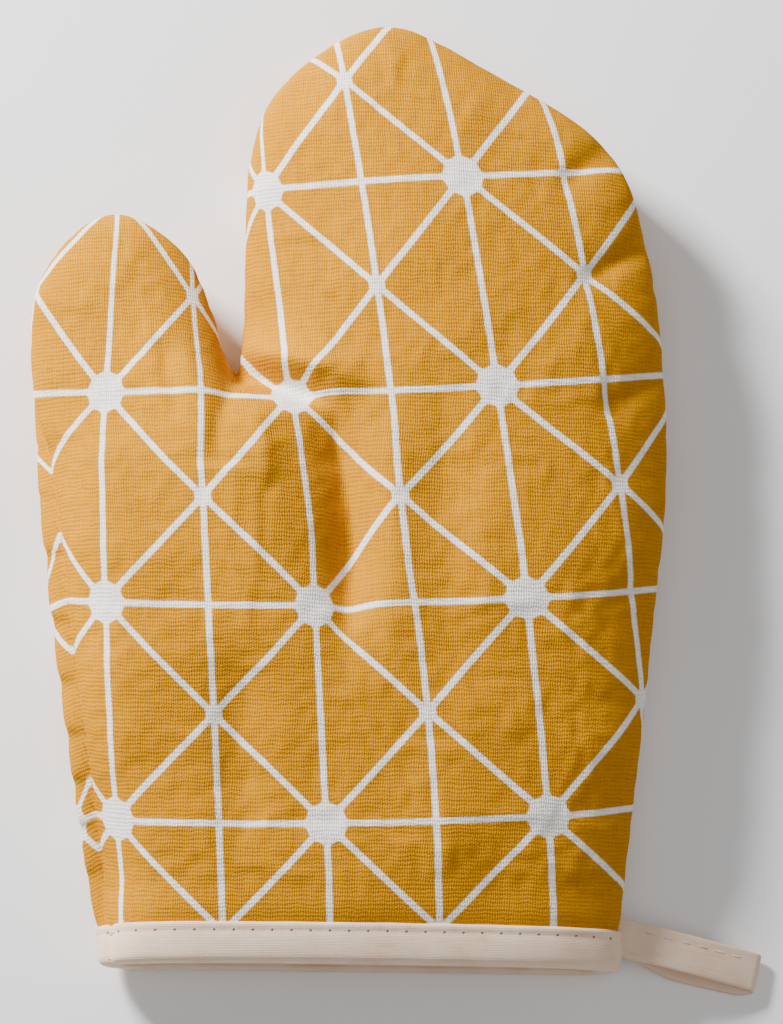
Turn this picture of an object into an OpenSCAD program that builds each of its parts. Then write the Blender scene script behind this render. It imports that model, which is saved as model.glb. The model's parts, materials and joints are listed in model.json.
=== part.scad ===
// Padded oven mitt, lying on its back panel with the front panel up.
// Z = 0 is the table. The middle of the cuff's width is X = 0, the thumb is on -X and the
// hanging loop on +X. The fingers point along +Y, and Y = 0 is half way along the mitt.

/* [Mitt] */
// Length from the bound cuff edge to the fingertips
mitt_length = 265; // [220:5:320]
// Width over the thumb and the hand together
mitt_width = 180; // [150:2:216]
// Distance of the thumb's outermost point from the middle of the cuff
thumb_reach = 93; // [78:1:112]
// Width of the finger part
hand_width = 119; // [99:1:143]
// Height of the palm above the table
palm_height = 38; // [31:1:46]
// Height of the finger part at its end
finger_height = 33; // [27:1:40]
// Height of the side seam above the table, away from the cuff
seam_height = 16; // [13:1:19]
// How far in from the seam the back panel turns flat
back_turn = 20; // [12:1:30]

/* [Thumb] */
// Distance of the thumb's tip from the cuff edge
thumb_tip_y = 211; // [176:1:253]
// Distance of the crotch between thumb and hand from the cuff edge
crotch_y = 165; // [138:1:195]
// Width of the thumb
thumb_width = 52; // [43:1:62]
// Height of the thumb's tip end above the table
thumb_height = 30; // [25:1:36]

/* [Cuff] */
// Width of the cuff
cuff_width = 146; // [120:2:176]
// Height of the cuff with its binding
cuff_height = 27; // [22:1:34]
// Height of the side seam above the table, at the cuff
cuff_seam_height = 10; // [8:0.5:12]

/* [Layers] */
// Thickness of the printed outer cloth
cloth_t = 0.8; // [0.6:0.1:1.2]
// Thickness of the batting over the hand
pad_t = 5; // [3:0.5:6]
// Thickness of the batting where the seam pinches it
seam_pad_t = 2; // [1:0.25:3]
// Thickness of the batting where the binding pinches it
cuff_pad_t = 2.5; // [1.5:0.25:3]
// Thickness of the lining cloth
lining_t = 0.5; // [0.3:0.1:0.8]
// Clearance between one layer and the next
layer_gap = 0.15; // [0.1:0.05:0.25]

/* [Binding and loop] */
// Finished width of the folded tape
tape_w = 11.3; // [9:0.1:14]
// Thickness of the tape on each face of the cuff
bind_t = 0.6; // [0.4:0.1:1]
// Thickness of the tape sewn shut, as one strand of the loop
strand_t = 1.1; // [0.8:0.1:1.4]
// Length of the loop from its swing line to its far fold
loop_length = 38; // [30:1:48]
// Angle of the loop below the X direction, seen from above
loop_angle = 12; // [0:1:20]
// Inside height of the loop's eye
eye_height = 6.5; // [5.5:0.5:8]
// Length of the tape ends sewn into the side seam
root_length = 4; // [3:0.5:6]
// Clearance round the tape ends and at the swing line
loop_gap = 0.3; // [0.3:0.05:0.5]

/* [Stitching] */
// Diameter of the sewing thread
thread_d = 0.4; // [0.3:0.05:0.5]
// Length of one visible stitch
stitch_length = 4; // [2.5:0.25:4.5]
// Distance from one stitch to the next
stitch_pitch = 5.3; // [5:0.1:6]
// Distance of the stitches from the binding's upper edge
binding_stitch_inset = 2; // [1.5:0.25:3]
// Distance of the stitches from the loop's upper edge
loop_stitch_inset = 3; // [2:0.25:4]

/* [Hidden] */

FRONT = 1;
BACK = -1;

// Rows of points from the seam to the spine, and ribs along each stretch of the outline
rows = 5;
wrist_ribs = [1, 3, 3];
thumb_side_ribs = 5;
thumb_cap_ribs = [3, 3, 3, 3];
thumb_inner_ribs = [3, 2];
hand_inner_ribs = [3, 3];
finger_cap_ribs = [3, 4, 4, 3, 3];
hand_outer_ribs = [3, 3];

function sum(list, from = 0) = from == len(list) ? 0 : list[from] + sum(list, from + 1);
function reversed(list) = [for (i = [len(list) - 1:-1:0]) list[i]];
function mix(a, b, t) = a + (b - a) * t;

// Catmull-Rom curve through the points, with the given number of steps in each stretch
function curve_point(p0, p1, p2, p3, t) = 0.5 * (2 * p1 + (p2 - p0) * t
    + (2 * p0 - 5 * p1 + 4 * p2 - p3) * t * t + (3 * p1 - p0 - 3 * p2 + p3) * t * t * t);
function curve(points, steps) = let (last = len(points) - 1) concat(
    [for (i = [0:last - 1]) for (j = [0:steps[i] - 1])
        curve_point(points[max(i - 1, 0)], points[i], points[i + 1], points[min(i + 2, last)],
            j / steps[i])],
    [points[last]]);
function bow(start, control, end, steps) = [for (i = [1:steps]) let (t = i / steps)
    mix(mix(start, control, t), mix(control, end, t), t)];

// A stitch stands half a thread proud of the tape, with a hair of clearance
stitch_t = thread_d / 2;
stitch_lift = 0.05;
// The cloth's raw edge lies inside the fold of the binding
raw_y = bind_t + layer_gap;
bind_top_y = raw_y + tape_w;
hand_right = mitt_width - thumb_reach;
hand_left = hand_right - hand_width;
cuff_half = cuff_width / 2;
wrist_y = crotch_y * 0.54;
base_y = crotch_y * 0.8;
thumb_x = thumb_width / 2 - thumb_reach;
thumb_inner_x = thumb_width - thumb_reach;
crotch_x = mix(thumb_inner_x, hand_left, 0.8);
finger_length = mitt_length - crotch_y;
flare = 0.13;
thumb_base_x = mix(cuff_half, thumb_reach, 0.76);

// Outline of the seam: up the thumb side to the crotch, then round the hand and down
thumb_side = [
    [-cuff_half, raw_y],
    [-cuff_half - flare * tape_w, bind_top_y],
    [-mix(cuff_half, thumb_reach, 0.5), wrist_y],
    [-thumb_base_x, base_y],
    [-thumb_reach, thumb_tip_y - 0.61 * thumb_width],
    [thumb_x - 0.33 * thumb_width, thumb_tip_y - 0.17 * thumb_width],
    [thumb_x, thumb_tip_y],
    [thumb_x + 0.34 * thumb_width, thumb_tip_y - 0.24 * thumb_width],
    [thumb_inner_x, thumb_tip_y - 0.56 * thumb_width],
    [mix(thumb_inner_x, crotch_x, 0.55), mix(crotch_y, thumb_tip_y, 0.11)],
    [crotch_x, crotch_y]];
hand_side = [
    [crotch_x, crotch_y],
    [hand_left, crotch_y + 0.17 * finger_length],
    [hand_left + 0.01 * hand_width, crotch_y + 0.6 * finger_length],
    [hand_left + 0.1 * hand_width, crotch_y + 0.84 * finger_length],
    [hand_left + 0.33 * hand_width, mitt_length],
    [hand_left + 0.57 * hand_width, crotch_y + 0.885 * finger_length],
    [hand_left + 0.84 * hand_width, crotch_y + 0.66 * finger_length],
    [hand_left + 0.965 * hand_width, crotch_y + 0.4 * finger_length],
    [hand_right, crotch_y + 0.02 * finger_length],
    [hand_right, base_y],
    [mix(cuff_half, hand_right, 0.67), wrist_y],
    [cuff_half + 0.5 * flare * tape_w, bind_top_y],
    [cuff_half, raw_y]];
thumb_curve = curve(thumb_side,
    concat(wrist_ribs, [thumb_side_ribs], thumb_cap_ribs, thumb_inner_ribs));
hand_curve = curve(hand_side,
    concat(hand_inner_ribs, finger_cap_ribs, hand_outer_ribs, reversed(wrist_ribs)));
outline = concat(thumb_curve, [for (i = [1:len(hand_curve) - 1]) hand_curve[i]]);

// Spine stations: the wrist from the cuff to the junction, then the thumb, then the hand
wrist_n = sum(wrist_ribs);
thumb_n = thumb_side_ribs;
hand_n = sum(hand_inner_ribs);
station_count = wrist_n + thumb_n + hand_n + 1;
junction = [-0.03 * cuff_width, crotch_y * 0.78];
thumb_end = [thumb_x, thumb_tip_y - 0.52 * thumb_width];
hand_end = [hand_left + 0.47 * hand_width, crotch_y + 0.43 * finger_length];
wrist_y_at = [for (s = [0:wrist_n]) mix(outline[s].y, outline[len(outline) - 1 - s].y, 0.5)];
spine = concat(
    [for (s = [0:wrist_n - 1]) [junction.x * s / wrist_n, min(wrist_y_at[s], junction.y)]],
    [junction],
    bow(junction, [thumb_x * 0.86, junction.y], thumb_end, thumb_n),
    bow(junction, [hand_end.x, crotch_y - 4], hand_end, hand_n));

// The spine station that each rib of the outline runs to
rib_station = concat(
    [for (s = [0:wrist_n + thumb_n]) s],
    [for (i = [1:sum(thumb_cap_ribs)]) wrist_n + thumb_n],
    [for (s = [thumb_n - 1:-1:0]) wrist_n + s],
    [for (s = [1:hand_n]) wrist_n + thumb_n + s],
    [for (i = [1:sum(finger_cap_ribs)]) wrist_n + thumb_n + hand_n],
    [for (s = [hand_n - 1:-1:1]) wrist_n + thumb_n + s],
    [for (s = [wrist_n:-1:0]) s]);
rib_count = len(rib_station);
last_rib = rib_count - 1;

// Height of the front panel's crest over each station
crest = concat(
    [for (s = [0:wrist_n]) mix(cuff_height - raw_y, palm_height,
        sin(90 * max(s - 1, 0) / (wrist_n - 1)))],
    [for (s = [1:thumb_n]) mix(palm_height, thumb_height, s / thumb_n)],
    [for (s = [1:hand_n]) mix(palm_height, finger_height, s / hand_n)]);
// The seam and the underside rise at the cuff, where the binding takes the table
seam_rise_stations = 4;
function seam_z(s) = mix(cuff_seam_height, seam_height, min(max(s - 1, 0) / seam_rise_stations, 1));
function floor_z(s) = s <= 1 ? raw_y + stitch_lift + stitch_t : 0;
// Half of the gap between the panels' edges: the thread's room, or the loop's tape ends
function half_gap(i) = i >= last_rib - 1 ? strand_t + layer_gap : thread_d / 2 + layer_gap;

// Levels through the wall, as [depth at the seam, depth at the crest] below the outer face
function pad_at(s) = mix(cuff_pad_t, pad_t, min(max(s - 1, 0) / 2, 1));
function wall_level(n, s) = let (
    base = [0, cloth_t, cloth_t + layer_gap, cloth_t + layer_gap,
        cloth_t + 2 * layer_gap, cloth_t + 2 * layer_gap + lining_t][n],
    inner = n > 2 ? 1 : 0)
    [base + inner * seam_pad_t, base + inner * pad_at(s)];
// Binding levels outside the wall and inside it
function bind_level(n, s) = n == 0 ? [-raw_y, -raw_y] : n == 1 ? [-layer_gap, -layer_gap]
    : wall_level(5, s) + (n == 2 ? [layer_gap, layer_gap] : [raw_y, raw_y]);

// Point on a rib: row 0 is at the seam, the last row at the spine
function rib_point(side, level, i, k) = let (
    s = rib_station[i],
    reach = norm(spine[s] - outline[i]),
    run = side == FRONT ? reach : min(back_turn, 0.75 * reach),
    turn = 90 * k / (side == FRONT ? rows : rows - 1),
    xy = k == rows ? spine[s]
        : outline[i] + (spine[s] - outline[i]) / reach * (level[0] + (run - level[0]) * (1 - cos(turn))),
    edge_z = seam_z(s) + side * half_gap(i),
    far_z = side == FRONT ? crest[s] - level[1] : floor_z(s) + level[1])
    [xy.x, xy.y, k == rows ? far_z : mix(edge_z, far_z, sin(turn))];

function skin_points(side, n) = concat(
    [for (i = [0:last_rib]) for (k = [0:rows - 1])
        rib_point(side, wall_level(n, rib_station[i]), i, k)],
    [for (s = [0:station_count - 1]) let (level = wall_level(n, s))
        [spine[s].x, spine[s].y, side == FRONT ? crest[s] - level[1] : floor_z(s) + level[1]]]);
skin_size = rib_count * rows + station_count;
function at(i, k) = k == rows ? rib_count * rows + rib_station[i] : i * rows + k;
function quad(a, b, c, d) = c == d ? [[a, b, c]] : [[a, b, c], [a, c, d]];
skin_faces = [for (i = [0:last_rib - 1]) for (k = [0:rows - 1])
    each quad(at(i, k), at(i + 1, k), at(i + 1, k + 1), at(i, k + 1))];
function band(a, b) = quad(b, a, a + skin_size, b + skin_size);
shell_faces = concat(
    skin_faces,
    [for (f = skin_faces) [for (v = reversed(f)) v + skin_size]],
    [for (i = [0:last_rib - 1]) each band(at(i, 0), at(i + 1, 0))],
    [for (k = [0:rows - 1]) each band(at(0, k + 1), at(0, k))],
    [for (k = [0:rows - 1]) each band(at(last_rib, k), at(last_rib, k + 1))]);

// One panel of one layer, between two levels of the wall
module panel(side, outside, inside) {
    polyhedron(
        points = concat(skin_points(side, outside), skin_points(side, inside)),
        faces = side == FRONT ? shell_faces : [for (f = shell_faces) reversed(f)]);
}

// Closed section swept along rings of points, with both ends capped by the given faces
module sweep(rings, caps) {
    sides = len(rings[0]);
    end = (len(rings) - 1) * sides;
    polyhedron(
        points = [for (ring = rings) each ring],
        faces = concat(
            [for (r = [0:len(rings) - 2]) for (j = [0:sides - 1]) let (n = (j + 1) % sides)
                each quad(r * sides + j, r * sides + n, (r + 1) * sides + n, (r + 1) * sides + j)],
            [for (f = caps) each quad(f[3], f[2], f[1], f[0])],
            [for (f = caps) each quad(end + f[0], end + f[1], end + f[2], end + f[3])]));
}

// Thread that joins the two panels of a layer, between their edges
module seam_thread(depth) {
    radius = thread_d / 2;
    sweep([for (i = [1:last_rib - 1]) let (
        s = rib_station[i],
        inward = (spine[s] - outline[i]) / norm(spine[s] - outline[i]),
        near = outline[i] + inward * (depth - radius),
        middle = outline[i] + inward * depth,
        away = outline[i] + inward * (depth + radius))
        [[near.x, near.y, seam_z(s)], [middle.x, middle.y, seam_z(s) + radius],
            [away.x, away.y, seam_z(s)], [middle.x, middle.y, seam_z(s) - radius]]],
        [[0, 1, 2, 3]]);
}

// Way round the cuff, clockwise seen from the opening, as [side, rib, row]
mouth_way = concat(
    [for (k = [0:rows]) [BACK, last_rib, k]],
    [for (k = [rows - 1:-1:0]) [BACK, 0, k]],
    [for (k = [0:rows]) [FRONT, 0, k]],
    [for (k = [rows - 1:-1:0]) [FRONT, last_rib, k]]);
// Point of the cuff at a level, from its raw edge (station 0) up to the binding's top (1)
function mouth_point(way, level, station) = rib_point(way[0], level,
    way[1] == 0 ? station : way[1] - station, way[2]);
function at_y(p, y) = [p.x, y, p.z];

module outer_front() {
    color("goldenrod") panel(FRONT, 0, 1);
}

// The table presses the back panel flat
module outer_back() {
    color("goldenrod") difference() {
        panel(BACK, 0, 1);
        translate([-mitt_width, -mitt_length, -seam_height])
            cube([2 * mitt_width, 3 * mitt_length, seam_height]);
    }
}

module batting_front() {
    color("white") panel(FRONT, 2, 3);
}

module batting_back() {
    color("white") panel(BACK, 2, 3);
}

module lining_front() {
    color("ivory") panel(FRONT, 4, 5);
}

module lining_back() {
    color("ivory") panel(BACK, 4, 5);
}

module outer_seam_thread() {
    color("orange") seam_thread(cloth_t / 2);
}

module lining_seam_thread() {
    color("ivory") seam_thread(wall_level(4, 0)[0] + lining_t / 2);
}

// Tape folded over the raw edges, open at the corner where the loop's tape comes out
module cuff_binding() {
    color("bisque") sweep([for (way = mouth_way) let (
        levels = [for (n = [0:3]) bind_level(n, 0)],
        low = [for (level = levels) mouth_point(way, level, 0)],
        high = [for (level = levels) mouth_point(way, level, 1)])
        [high[0], at_y(low[0], 0), at_y(low[3], 0), high[3],
            high[2], at_y(low[2], bind_t), at_y(low[1], bind_t), high[1]]],
        [[0, 1, 6, 7], [1, 2, 5, 6], [2, 3, 4, 5]]);
}

// Place on an open line of points at a distance along it, as [index of the point before, share]
function place(line, distance, i = 0) = let (step = norm(line[i + 1] - line[i]))
    distance <= step || i == len(line) - 2 ? [i, distance / step]
    : place(line, distance - step, i + 1);
function length_of(line) = sum([for (i = [0:len(line) - 2]) norm(line[i + 1] - line[i])]);

// Row of stitches, each lying between a line on the tape and the same line one stitch above it
module stitch_row(low, high) {
    count = floor(length_of(low) / stitch_pitch);
    start = (length_of(low) - count * stitch_pitch + stitch_pitch - stitch_length) / 2;
    half = [0, thread_d / 2, 0];
    for (n = [0:count - 1]) {
        from = place(low, start + n * stitch_pitch);
        to = place(low, start + n * stitch_pitch + stitch_length);
        corners = to[0] > from[0] ? [for (i = [from[0] + 1:to[0]]) [i, 0]] : [];
        sweep([for (spot = concat([from], corners, [to])) let (
            i = spot[0],
            base = mix(low[i], low[i + 1], spot[1]),
            top = mix(high[i], high[i + 1], spot[1]))
            [base - half, top - half, top + half, base + half]], [[0, 1, 2, 3]]);
    }
}

module binding_stitches() {
    share = 1 - binding_stitch_inset / tape_w;
    module row(n, lifts) {
        lines = [for (lift = lifts) [for (way = mouth_way) let (
            level = bind_level(n, 0) + [lift, lift])
            mix(mouth_point(way, level, 0), mouth_point(way, level, 1), share)]];
        stitch_row(lines[0], lines[1]);
    }
    color("antiquewhite") {
        row(0, [-stitch_lift - stitch_t, -stitch_lift]);
        row(3, [stitch_lift, stitch_lift + stitch_t]);
    }
}

// The loop's swing line stands outside the binding, and its tape ends leave room for the swing
swing_lean = tape_w / 2 * sin(loop_angle);
swing_room = 2 * strand_t + loop_gap;
swing_x = cuff_half + raw_y + 2 * strand_t + swing_lean;
swing_y = raw_y + tape_w / 2 - 0.5;
far_x = loop_length;
strand_half = strand_t / 2;
fold_r = 1.2 * strand_half;

// Middle line of the tape in the loop's own plane, as [distance from the swing line, height]
upper_strand = curve([
    [0, cuff_seam_height + strand_half],
    [0.24 * loop_length, cuff_seam_height - strand_half],
    [0.5 * loop_length, eye_height + 1.5 * strand_t],
    [0.76 * loop_length, 0.5 * eye_height + 2 * strand_t],
    [far_x - fold_r, strand_half + 2 * fold_r]], [4, 4, 4, 4]);
lower_strand = curve([
    [far_x - fold_r, strand_half],
    [0.6 * loop_length, strand_half],
    [0.38 * loop_length, strand_half + 0.6],
    [0.2 * loop_length, 0.4 * cuff_seam_height],
    [0, cuff_seam_height - strand_half]], [2, 3, 4, 4]);
fold_turn = [for (a = [60, 30, 0, -30, -60])
    [far_x - fold_r + fold_r * cos(a), strand_half + fold_r + fold_r * sin(a)]];
tape_line = concat(upper_strand, fold_turn, lower_strand);
function left_of(line, i) = let (d = line[min(i + 1, len(line) - 1)] - line[max(i - 1, 0)])
    [-d.y, d.x] / norm(d);
function beside(line, offset) = [for (i = [0:len(line) - 1]) line[i] + left_of(line, i) * offset];
// Moves a profile drawn as [distance, height] to the loop's place, its width along the swing line
module in_loop_place() {
    translate([swing_x, swing_y, 0]) rotate([0, 0, -loop_angle]) children();
}

module hanging_loop() {
    outside = beside(tape_line, strand_half);
    eye = [for (i = [1:len(tape_line) - 2]) beside(tape_line, -strand_half)[i]];
    color("bisque") in_loop_place() rotate([90, 0, 0]) {
        linear_extrude(height = tape_w, center = true)
            polygon(concat(outside, eye), [[for (i = [0:len(outside) - 1]) i],
                [for (i = [0:len(eye) - 1]) len(outside) + i]]);
        translate([0, cuff_seam_height, 0])
            cylinder(r = strand_t, h = tape_w, center = true, $fn = 48);
    }
}

// Rows on the faces of both strands that look up
module loop_stitches() {
    row_y = tape_w / 2 - loop_stitch_inset;
    function row_line(line, lift) = let (side = beside(line, strand_half + lift))
        [for (i = [1:len(line) - 2]) [side[i].x, row_y, side[i].y]];
    color("antiquewhite") in_loop_place() for (line = [upper_strand, reversed(lower_strand)])
        stitch_row(row_line(line, stitch_lift), row_line(line, stitch_lift + stitch_t));
}

// Both ends of the loop's tape, one on the other in the side seam, cut along the swing line
module loop_root() {
    across = tape_w / 2 * [sin(loop_angle), cos(loop_angle)];
    middle = [swing_x, swing_y] - swing_room * [cos(loop_angle), -sin(loop_angle)];
    top = middle + across;
    bottom = middle - across;
    inner_x = cuff_half - root_length;
    half_slit = 0.05;
    color("bisque") for (z = [half_slit, -strand_t])
        translate([0, 0, cuff_seam_height + z])
            linear_extrude(height = strand_t - half_slit)
                polygon([[inner_x, bottom.y], bottom, top, [inner_x, top.y]]);
}

// Brings the middle of the mitt's length to the origin
module laid() {
    translate([0, -mitt_length / 2, 0]) children();
}

laid() outer_front();
laid() outer_back();
laid() batting_front();
laid() batting_back();
laid() lining_front();
laid() lining_back();
laid() outer_seam_thread();
laid() lining_seam_thread();
laid() cuff_binding();
laid() binding_stitches();
laid() loop_root();
laid() hanging_loop();
laid() loop_stitches();
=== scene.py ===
"""Looks of a padded oven mitt: printed canvas, bias binding and hanging loop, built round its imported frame.

Shapes are drawn in millimetres from the middle of the cuff's bound edge, with Y along the mitt and Z up
out of the palm, and are moved into the frame's metres as each mesh is made.
"""

from __future__ import annotations

import json
import logging
import math
from dataclasses import dataclass, field
from enum import Enum

import bmesh
import bpy
import numpy as np
from mathutils import Matrix, Vector, noise
from mathutils.bvhtree import BVHTree
from mathutils.geometry import delaunay_2d_cdt

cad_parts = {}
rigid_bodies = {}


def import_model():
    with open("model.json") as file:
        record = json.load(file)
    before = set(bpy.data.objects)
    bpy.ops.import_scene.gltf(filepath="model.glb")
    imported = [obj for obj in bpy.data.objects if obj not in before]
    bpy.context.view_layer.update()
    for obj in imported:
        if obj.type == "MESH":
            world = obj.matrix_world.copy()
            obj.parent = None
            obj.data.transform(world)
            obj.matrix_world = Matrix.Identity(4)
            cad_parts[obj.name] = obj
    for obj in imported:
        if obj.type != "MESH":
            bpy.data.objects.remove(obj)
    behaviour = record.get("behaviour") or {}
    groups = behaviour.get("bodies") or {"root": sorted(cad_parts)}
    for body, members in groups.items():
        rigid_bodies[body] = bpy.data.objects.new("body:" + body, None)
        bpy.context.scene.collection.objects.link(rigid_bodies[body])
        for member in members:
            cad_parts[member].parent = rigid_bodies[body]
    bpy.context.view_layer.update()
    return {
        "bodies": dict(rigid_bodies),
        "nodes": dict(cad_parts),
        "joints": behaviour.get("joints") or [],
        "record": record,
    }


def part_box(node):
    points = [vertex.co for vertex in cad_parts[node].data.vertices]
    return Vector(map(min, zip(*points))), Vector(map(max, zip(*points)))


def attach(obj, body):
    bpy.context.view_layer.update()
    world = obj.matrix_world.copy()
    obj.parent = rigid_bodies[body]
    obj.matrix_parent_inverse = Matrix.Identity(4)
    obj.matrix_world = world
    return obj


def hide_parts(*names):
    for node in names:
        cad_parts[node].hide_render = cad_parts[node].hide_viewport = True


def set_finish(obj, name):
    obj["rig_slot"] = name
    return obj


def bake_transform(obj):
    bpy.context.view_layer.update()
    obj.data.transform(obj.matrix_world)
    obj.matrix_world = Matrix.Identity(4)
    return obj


MM = 0.001
LOG = logging.getLogger("mitt")
Point = tuple[float, ...]
Colour = tuple[float, float, float, float]


class Side(Enum):
    """The two panels of each layer."""

    FRONT = "front"
    BACK = "back"

    @property
    def up(self) -> float:
        """1 where the panel's outer face looks up, -1 where it looks down."""
        return 1.0 if self is Side.FRONT else -1.0


# ---------------------------------------------------------------------------------------------------------
# Lines and fields


def smooth(low: float, high: float, value: np.ndarray | float) -> np.ndarray:
    """Smooth ramp of a value, from 0 at low to 1 at high."""
    share = np.clip((np.asarray(value, float) - low) / (high - low), 0.0, 1.0)
    return share * share * (3.0 - 2.0 * share)


def curve(anchors: tuple[Point, ...], steps: int = 12) -> np.ndarray:
    """Smooth line through anchor points.

    Args:
        anchors: points that the line passes through.
        steps: pieces between two anchors.

    Returns:
        The points of the line, one a row.
    """
    p = np.array(anchors, float)
    p = np.vstack([2 * p[0] - p[1], p, 2 * p[-1] - p[-2]])
    t = np.linspace(0.0, 1.0, steps, endpoint=False)[:, None]
    parts = []
    for a, b, c, d in zip(p, p[1:], p[2:], p[3:]):
        parts.append(0.5 * (2 * b + (c - a) * t + (2 * a - 5 * b + 4 * c - d) * t**2
                            + (3 * b - a - 3 * c + d) * t**3))
    return np.vstack(parts + [p[-2][None]])


def walked(line: np.ndarray) -> np.ndarray:
    """Distance walked along a line at each of its points."""
    return np.concatenate([[0.0], np.cumsum(np.linalg.norm(np.diff(line, axis=0), axis=1))])


def respaced(line: np.ndarray, gap: float) -> np.ndarray:
    """The same line with its points an even gap apart.

    Args:
        line: points of the line.
        gap: distance wanted between points.

    Returns:
        The new points, with the same two ends.
    """
    along = walked(line)
    marks = np.linspace(0.0, along[-1], max(2, int(round(along[-1] / gap)) + 1))
    return np.column_stack([np.interp(marks, along, line[:, k]) for k in range(line.shape[1])])


def turned_out(line: np.ndarray) -> np.ndarray:
    """Unit normals to the left of a flat line, which is outward where it runs clockwise.

    Args:
        line: points of the line.

    Returns:
        The normal at each point, evened out over its neighbours.
    """
    step = np.gradient(line, axis=0)
    normal = np.column_stack([-step[:, 1], step[:, 0]])
    for _ in range(2):
        normal[1:-1] = (normal[:-2] + 2 * normal[1:-1] + normal[2:]) / 4
    return normal / np.linalg.norm(normal, axis=1)[:, None]


def wander(places: np.ndarray, size: float, seed: float) -> np.ndarray:
    """Soft random field from -1 to 1 with bumps of about the given size."""
    return np.array([noise.noise(Vector((p[0] / size, p[1] / size, seed))) for p in places])


def settled_field(points: np.ndarray, triangles: np.ndarray, held: np.ndarray, reach: float) -> np.ndarray:
    """Field that is 0 on the held points and grows towards 1 within the reach, smooth everywhere.

    Args:
        points: flat points.
        triangles: indices of their triangles.
        held: indices of the points at 0.
        reach: distance in which the field gains most of its height.

    Returns:
        The value at each point.
    """
    count = len(points)
    pairs, weights = [], []
    mass = np.zeros(count)
    for k in range(3):
        i, j, o = triangles[:, k], triangles[:, (k + 1) % 3], triangles[:, (k + 2) % 3]
        a, b = points[i] - points[o], points[j] - points[o]
        cross = np.abs(a[:, 0] * b[:, 1] - a[:, 1] * b[:, 0])
        pairs.append(np.column_stack([i, j]))
        weights.append(0.5 * (a * b).sum(1) / np.maximum(cross, 1e-9))
        mass += np.bincount(i, cross / 6, count)
    pairs, weights = np.vstack(pairs), np.concatenate(weights) * reach**2
    loose = np.ones(count)
    loose[held] = 0.0

    def spread(value: np.ndarray) -> np.ndarray:
        """The field's own operator on loose points.

        Args:
            value: the field.

        Returns:
            Its pull at each point.
        """
        flow = weights * (value[pairs[:, 0]] - value[pairs[:, 1]])
        out = np.bincount(pairs[:, 0], flow, count) - np.bincount(pairs[:, 1], flow, count)
        return loose * (out + mass * value)

    value = np.zeros(count)
    rest = loose * mass
    way, energy = rest.copy(), float(rest @ rest)
    for _ in range(600):
        pushed = spread(way)
        share = energy / float(way @ pushed)
        value += share * way
        rest -= share * pushed
        fresh = float(rest @ rest)
        if fresh < 1e-10:
            break
        way = rest + way * (fresh / energy)
        energy = fresh
    return value


# ---------------------------------------------------------------------------------------------------------
# Meshes


def in_frame(points: np.ndarray, length: float) -> np.ndarray:
    """Drawn millimetres as the frame's metres."""
    return (np.asarray(points, float) - [0.0, length / 2, 0.0]) * MM


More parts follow.
